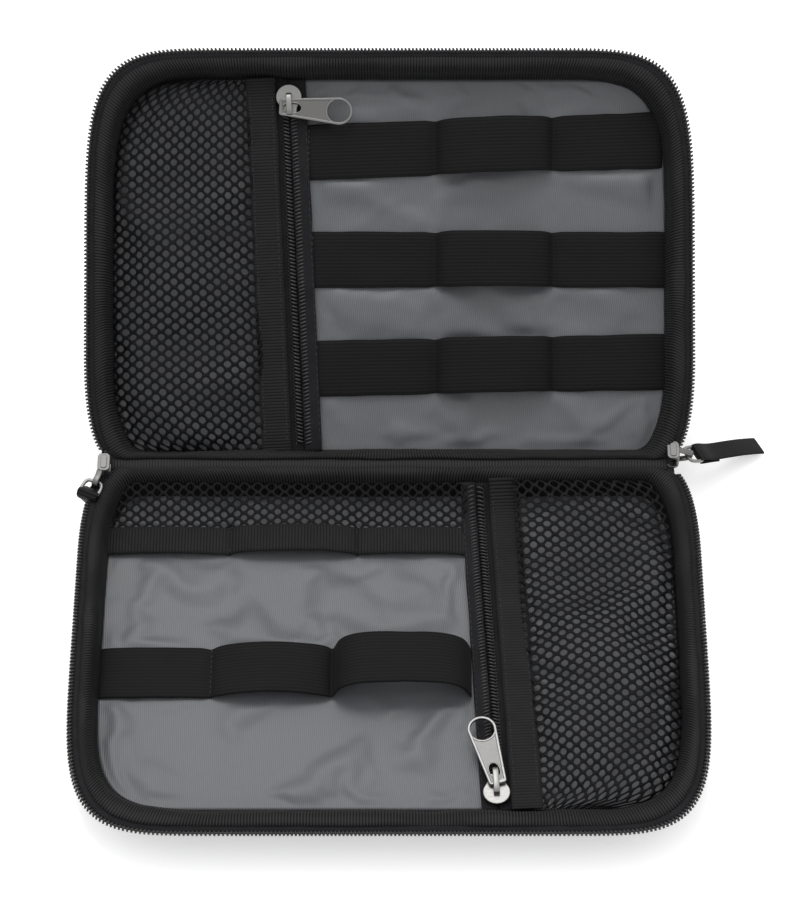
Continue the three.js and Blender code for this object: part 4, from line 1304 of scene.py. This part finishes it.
def main_sliders():
    """Both main sliders, each with the bail that its wire loop hangs from."""
    y, z = SLIDER_Y, DEPTH
    right = [(112.0, y, z + 2.9), (114.4, y, z + 2.2), (116.6, y + 0.1, z + 1.1), (117.3, y + 0.1, z - 0.4),
             (116.6, y + 0.1, z - 1.9), (114.4, y, z - 2.4), (112.0, y, z - 2.9)]
    main_slider(1, "right_zip_slider", right, (0.35, 0.94, 0))
    left = [(-111.4, y - 3.6, z + 2.9), (-112.0, y - 5.6, z + 2.4), (-113.0, y - 8.0, z + 1.9),
            (-113.3, y - 8.8, z + 0.4), (-113.0, y - 8.0, z - 1.1), (-112.0, y - 5.6, z - 2.2),
            (-111.4, y - 3.6, z - 2.9)]
    main_slider(-1, "left_zip_slider", left, (0.92, -0.39, 0))


# ---------------------------------------------------------------- assembly
for half in HALVES:
    shell(half)
    gusset(half)
    main_zip(half)
    floor_lining(half)
    pocket_net(half)
    pocket_zip(half)
for name in BANDS:
    band(name)
slip_pocket()
spine()
spine_cover()
main_sliders()
right_pull()
left_pull()


# ---------------------------------------------------------------- studio
def backdrop():
    """A pale floor, and a white world that is brighter overhead and towards the back."""
    size = 6.0
    points = [(-size, -size, 0), (size, -size, 0), (size, size, 0), (-size, size, 0)]
    floor = mesh_object("floor", points, [(0, 1, 2, 3)])
    paper = bpy.data.materials.new("paper")
    paper.use_nodes = True
    shader = paper.node_tree.nodes["Principled BSDF"]
    for socket, value in (("Base Color", (0.96, 0.96, 0.96, 1)), ("Roughness", 0.9),
                          ("Emission Color", (1, 1, 1, 1)), ("Emission Strength", 0.4)):
        shader.inputs[socket].default_value = value
    floor.data.materials.append(paper)
    world = bpy.data.worlds.new("studio")
    world.use_nodes = True
    tree = world.node_tree
    background = tree.nodes["Background"]
    background.inputs["Color"].default_value = (1, 1, 1, 1)
    coordinates = add_node(tree, "ShaderNodeTexCoord")
    split = add_node(tree, "ShaderNodeSeparateXYZ", coordinates.outputs["Generated"])
    overhead = add_math(tree, "MULTIPLY_ADD", split.outputs["Z"], 0.40, 0.72)
    behind = add_math(tree, "MULTIPLY_ADD", split.outputs["Y"], 0.30, overhead)
    feed_socket(tree, background.inputs["Strength"], behind)
    bpy.context.scene.world = world


def softbox(name, at, aim, size, power):
    light = bpy.data.lights.new(name, "AREA")
    light.shape = "RECTANGLE"
    light.size, light.size_y = size
    light.energy = power
    lamp = add_object(name, light)
    lamp.location = at
    lamp.rotation_mode = "QUATERNION"
    lamp.rotation_quaternion = (Vector(aim) - Vector(at)).to_track_quat("-Z", "Y")


TARGET = Vector((3.9, 61.8, 49.6)) * MM
ELEVATION, DISTANCE, LENS = math.radians(55.41), 1.1342, 125.8


def camera():
    data = bpy.data.cameras.new("camera")
    data.lens = LENS
    data.sensor_width = 36.0
    data.clip_start, data.clip_end = 0.05, 60
    eye = add_object("camera", data)
    back = Vector((0, -math.cos(ELEVATION), math.sin(ELEVATION)))
    eye.location = TARGET + back * DISTANCE
    eye.rotation_mode = "QUATERNION"
    eye.rotation_quaternion = (-back).to_track_quat("-Z", "Y")
    bpy.context.scene.camera = eye


backdrop()
softbox("key", (-0.15, 0.75, 1.6), (0, 0.06, 0.03), (0.8, 0.6), 7)
camera()
bpy.context.scene.view_settings.view_transform = "Standard"
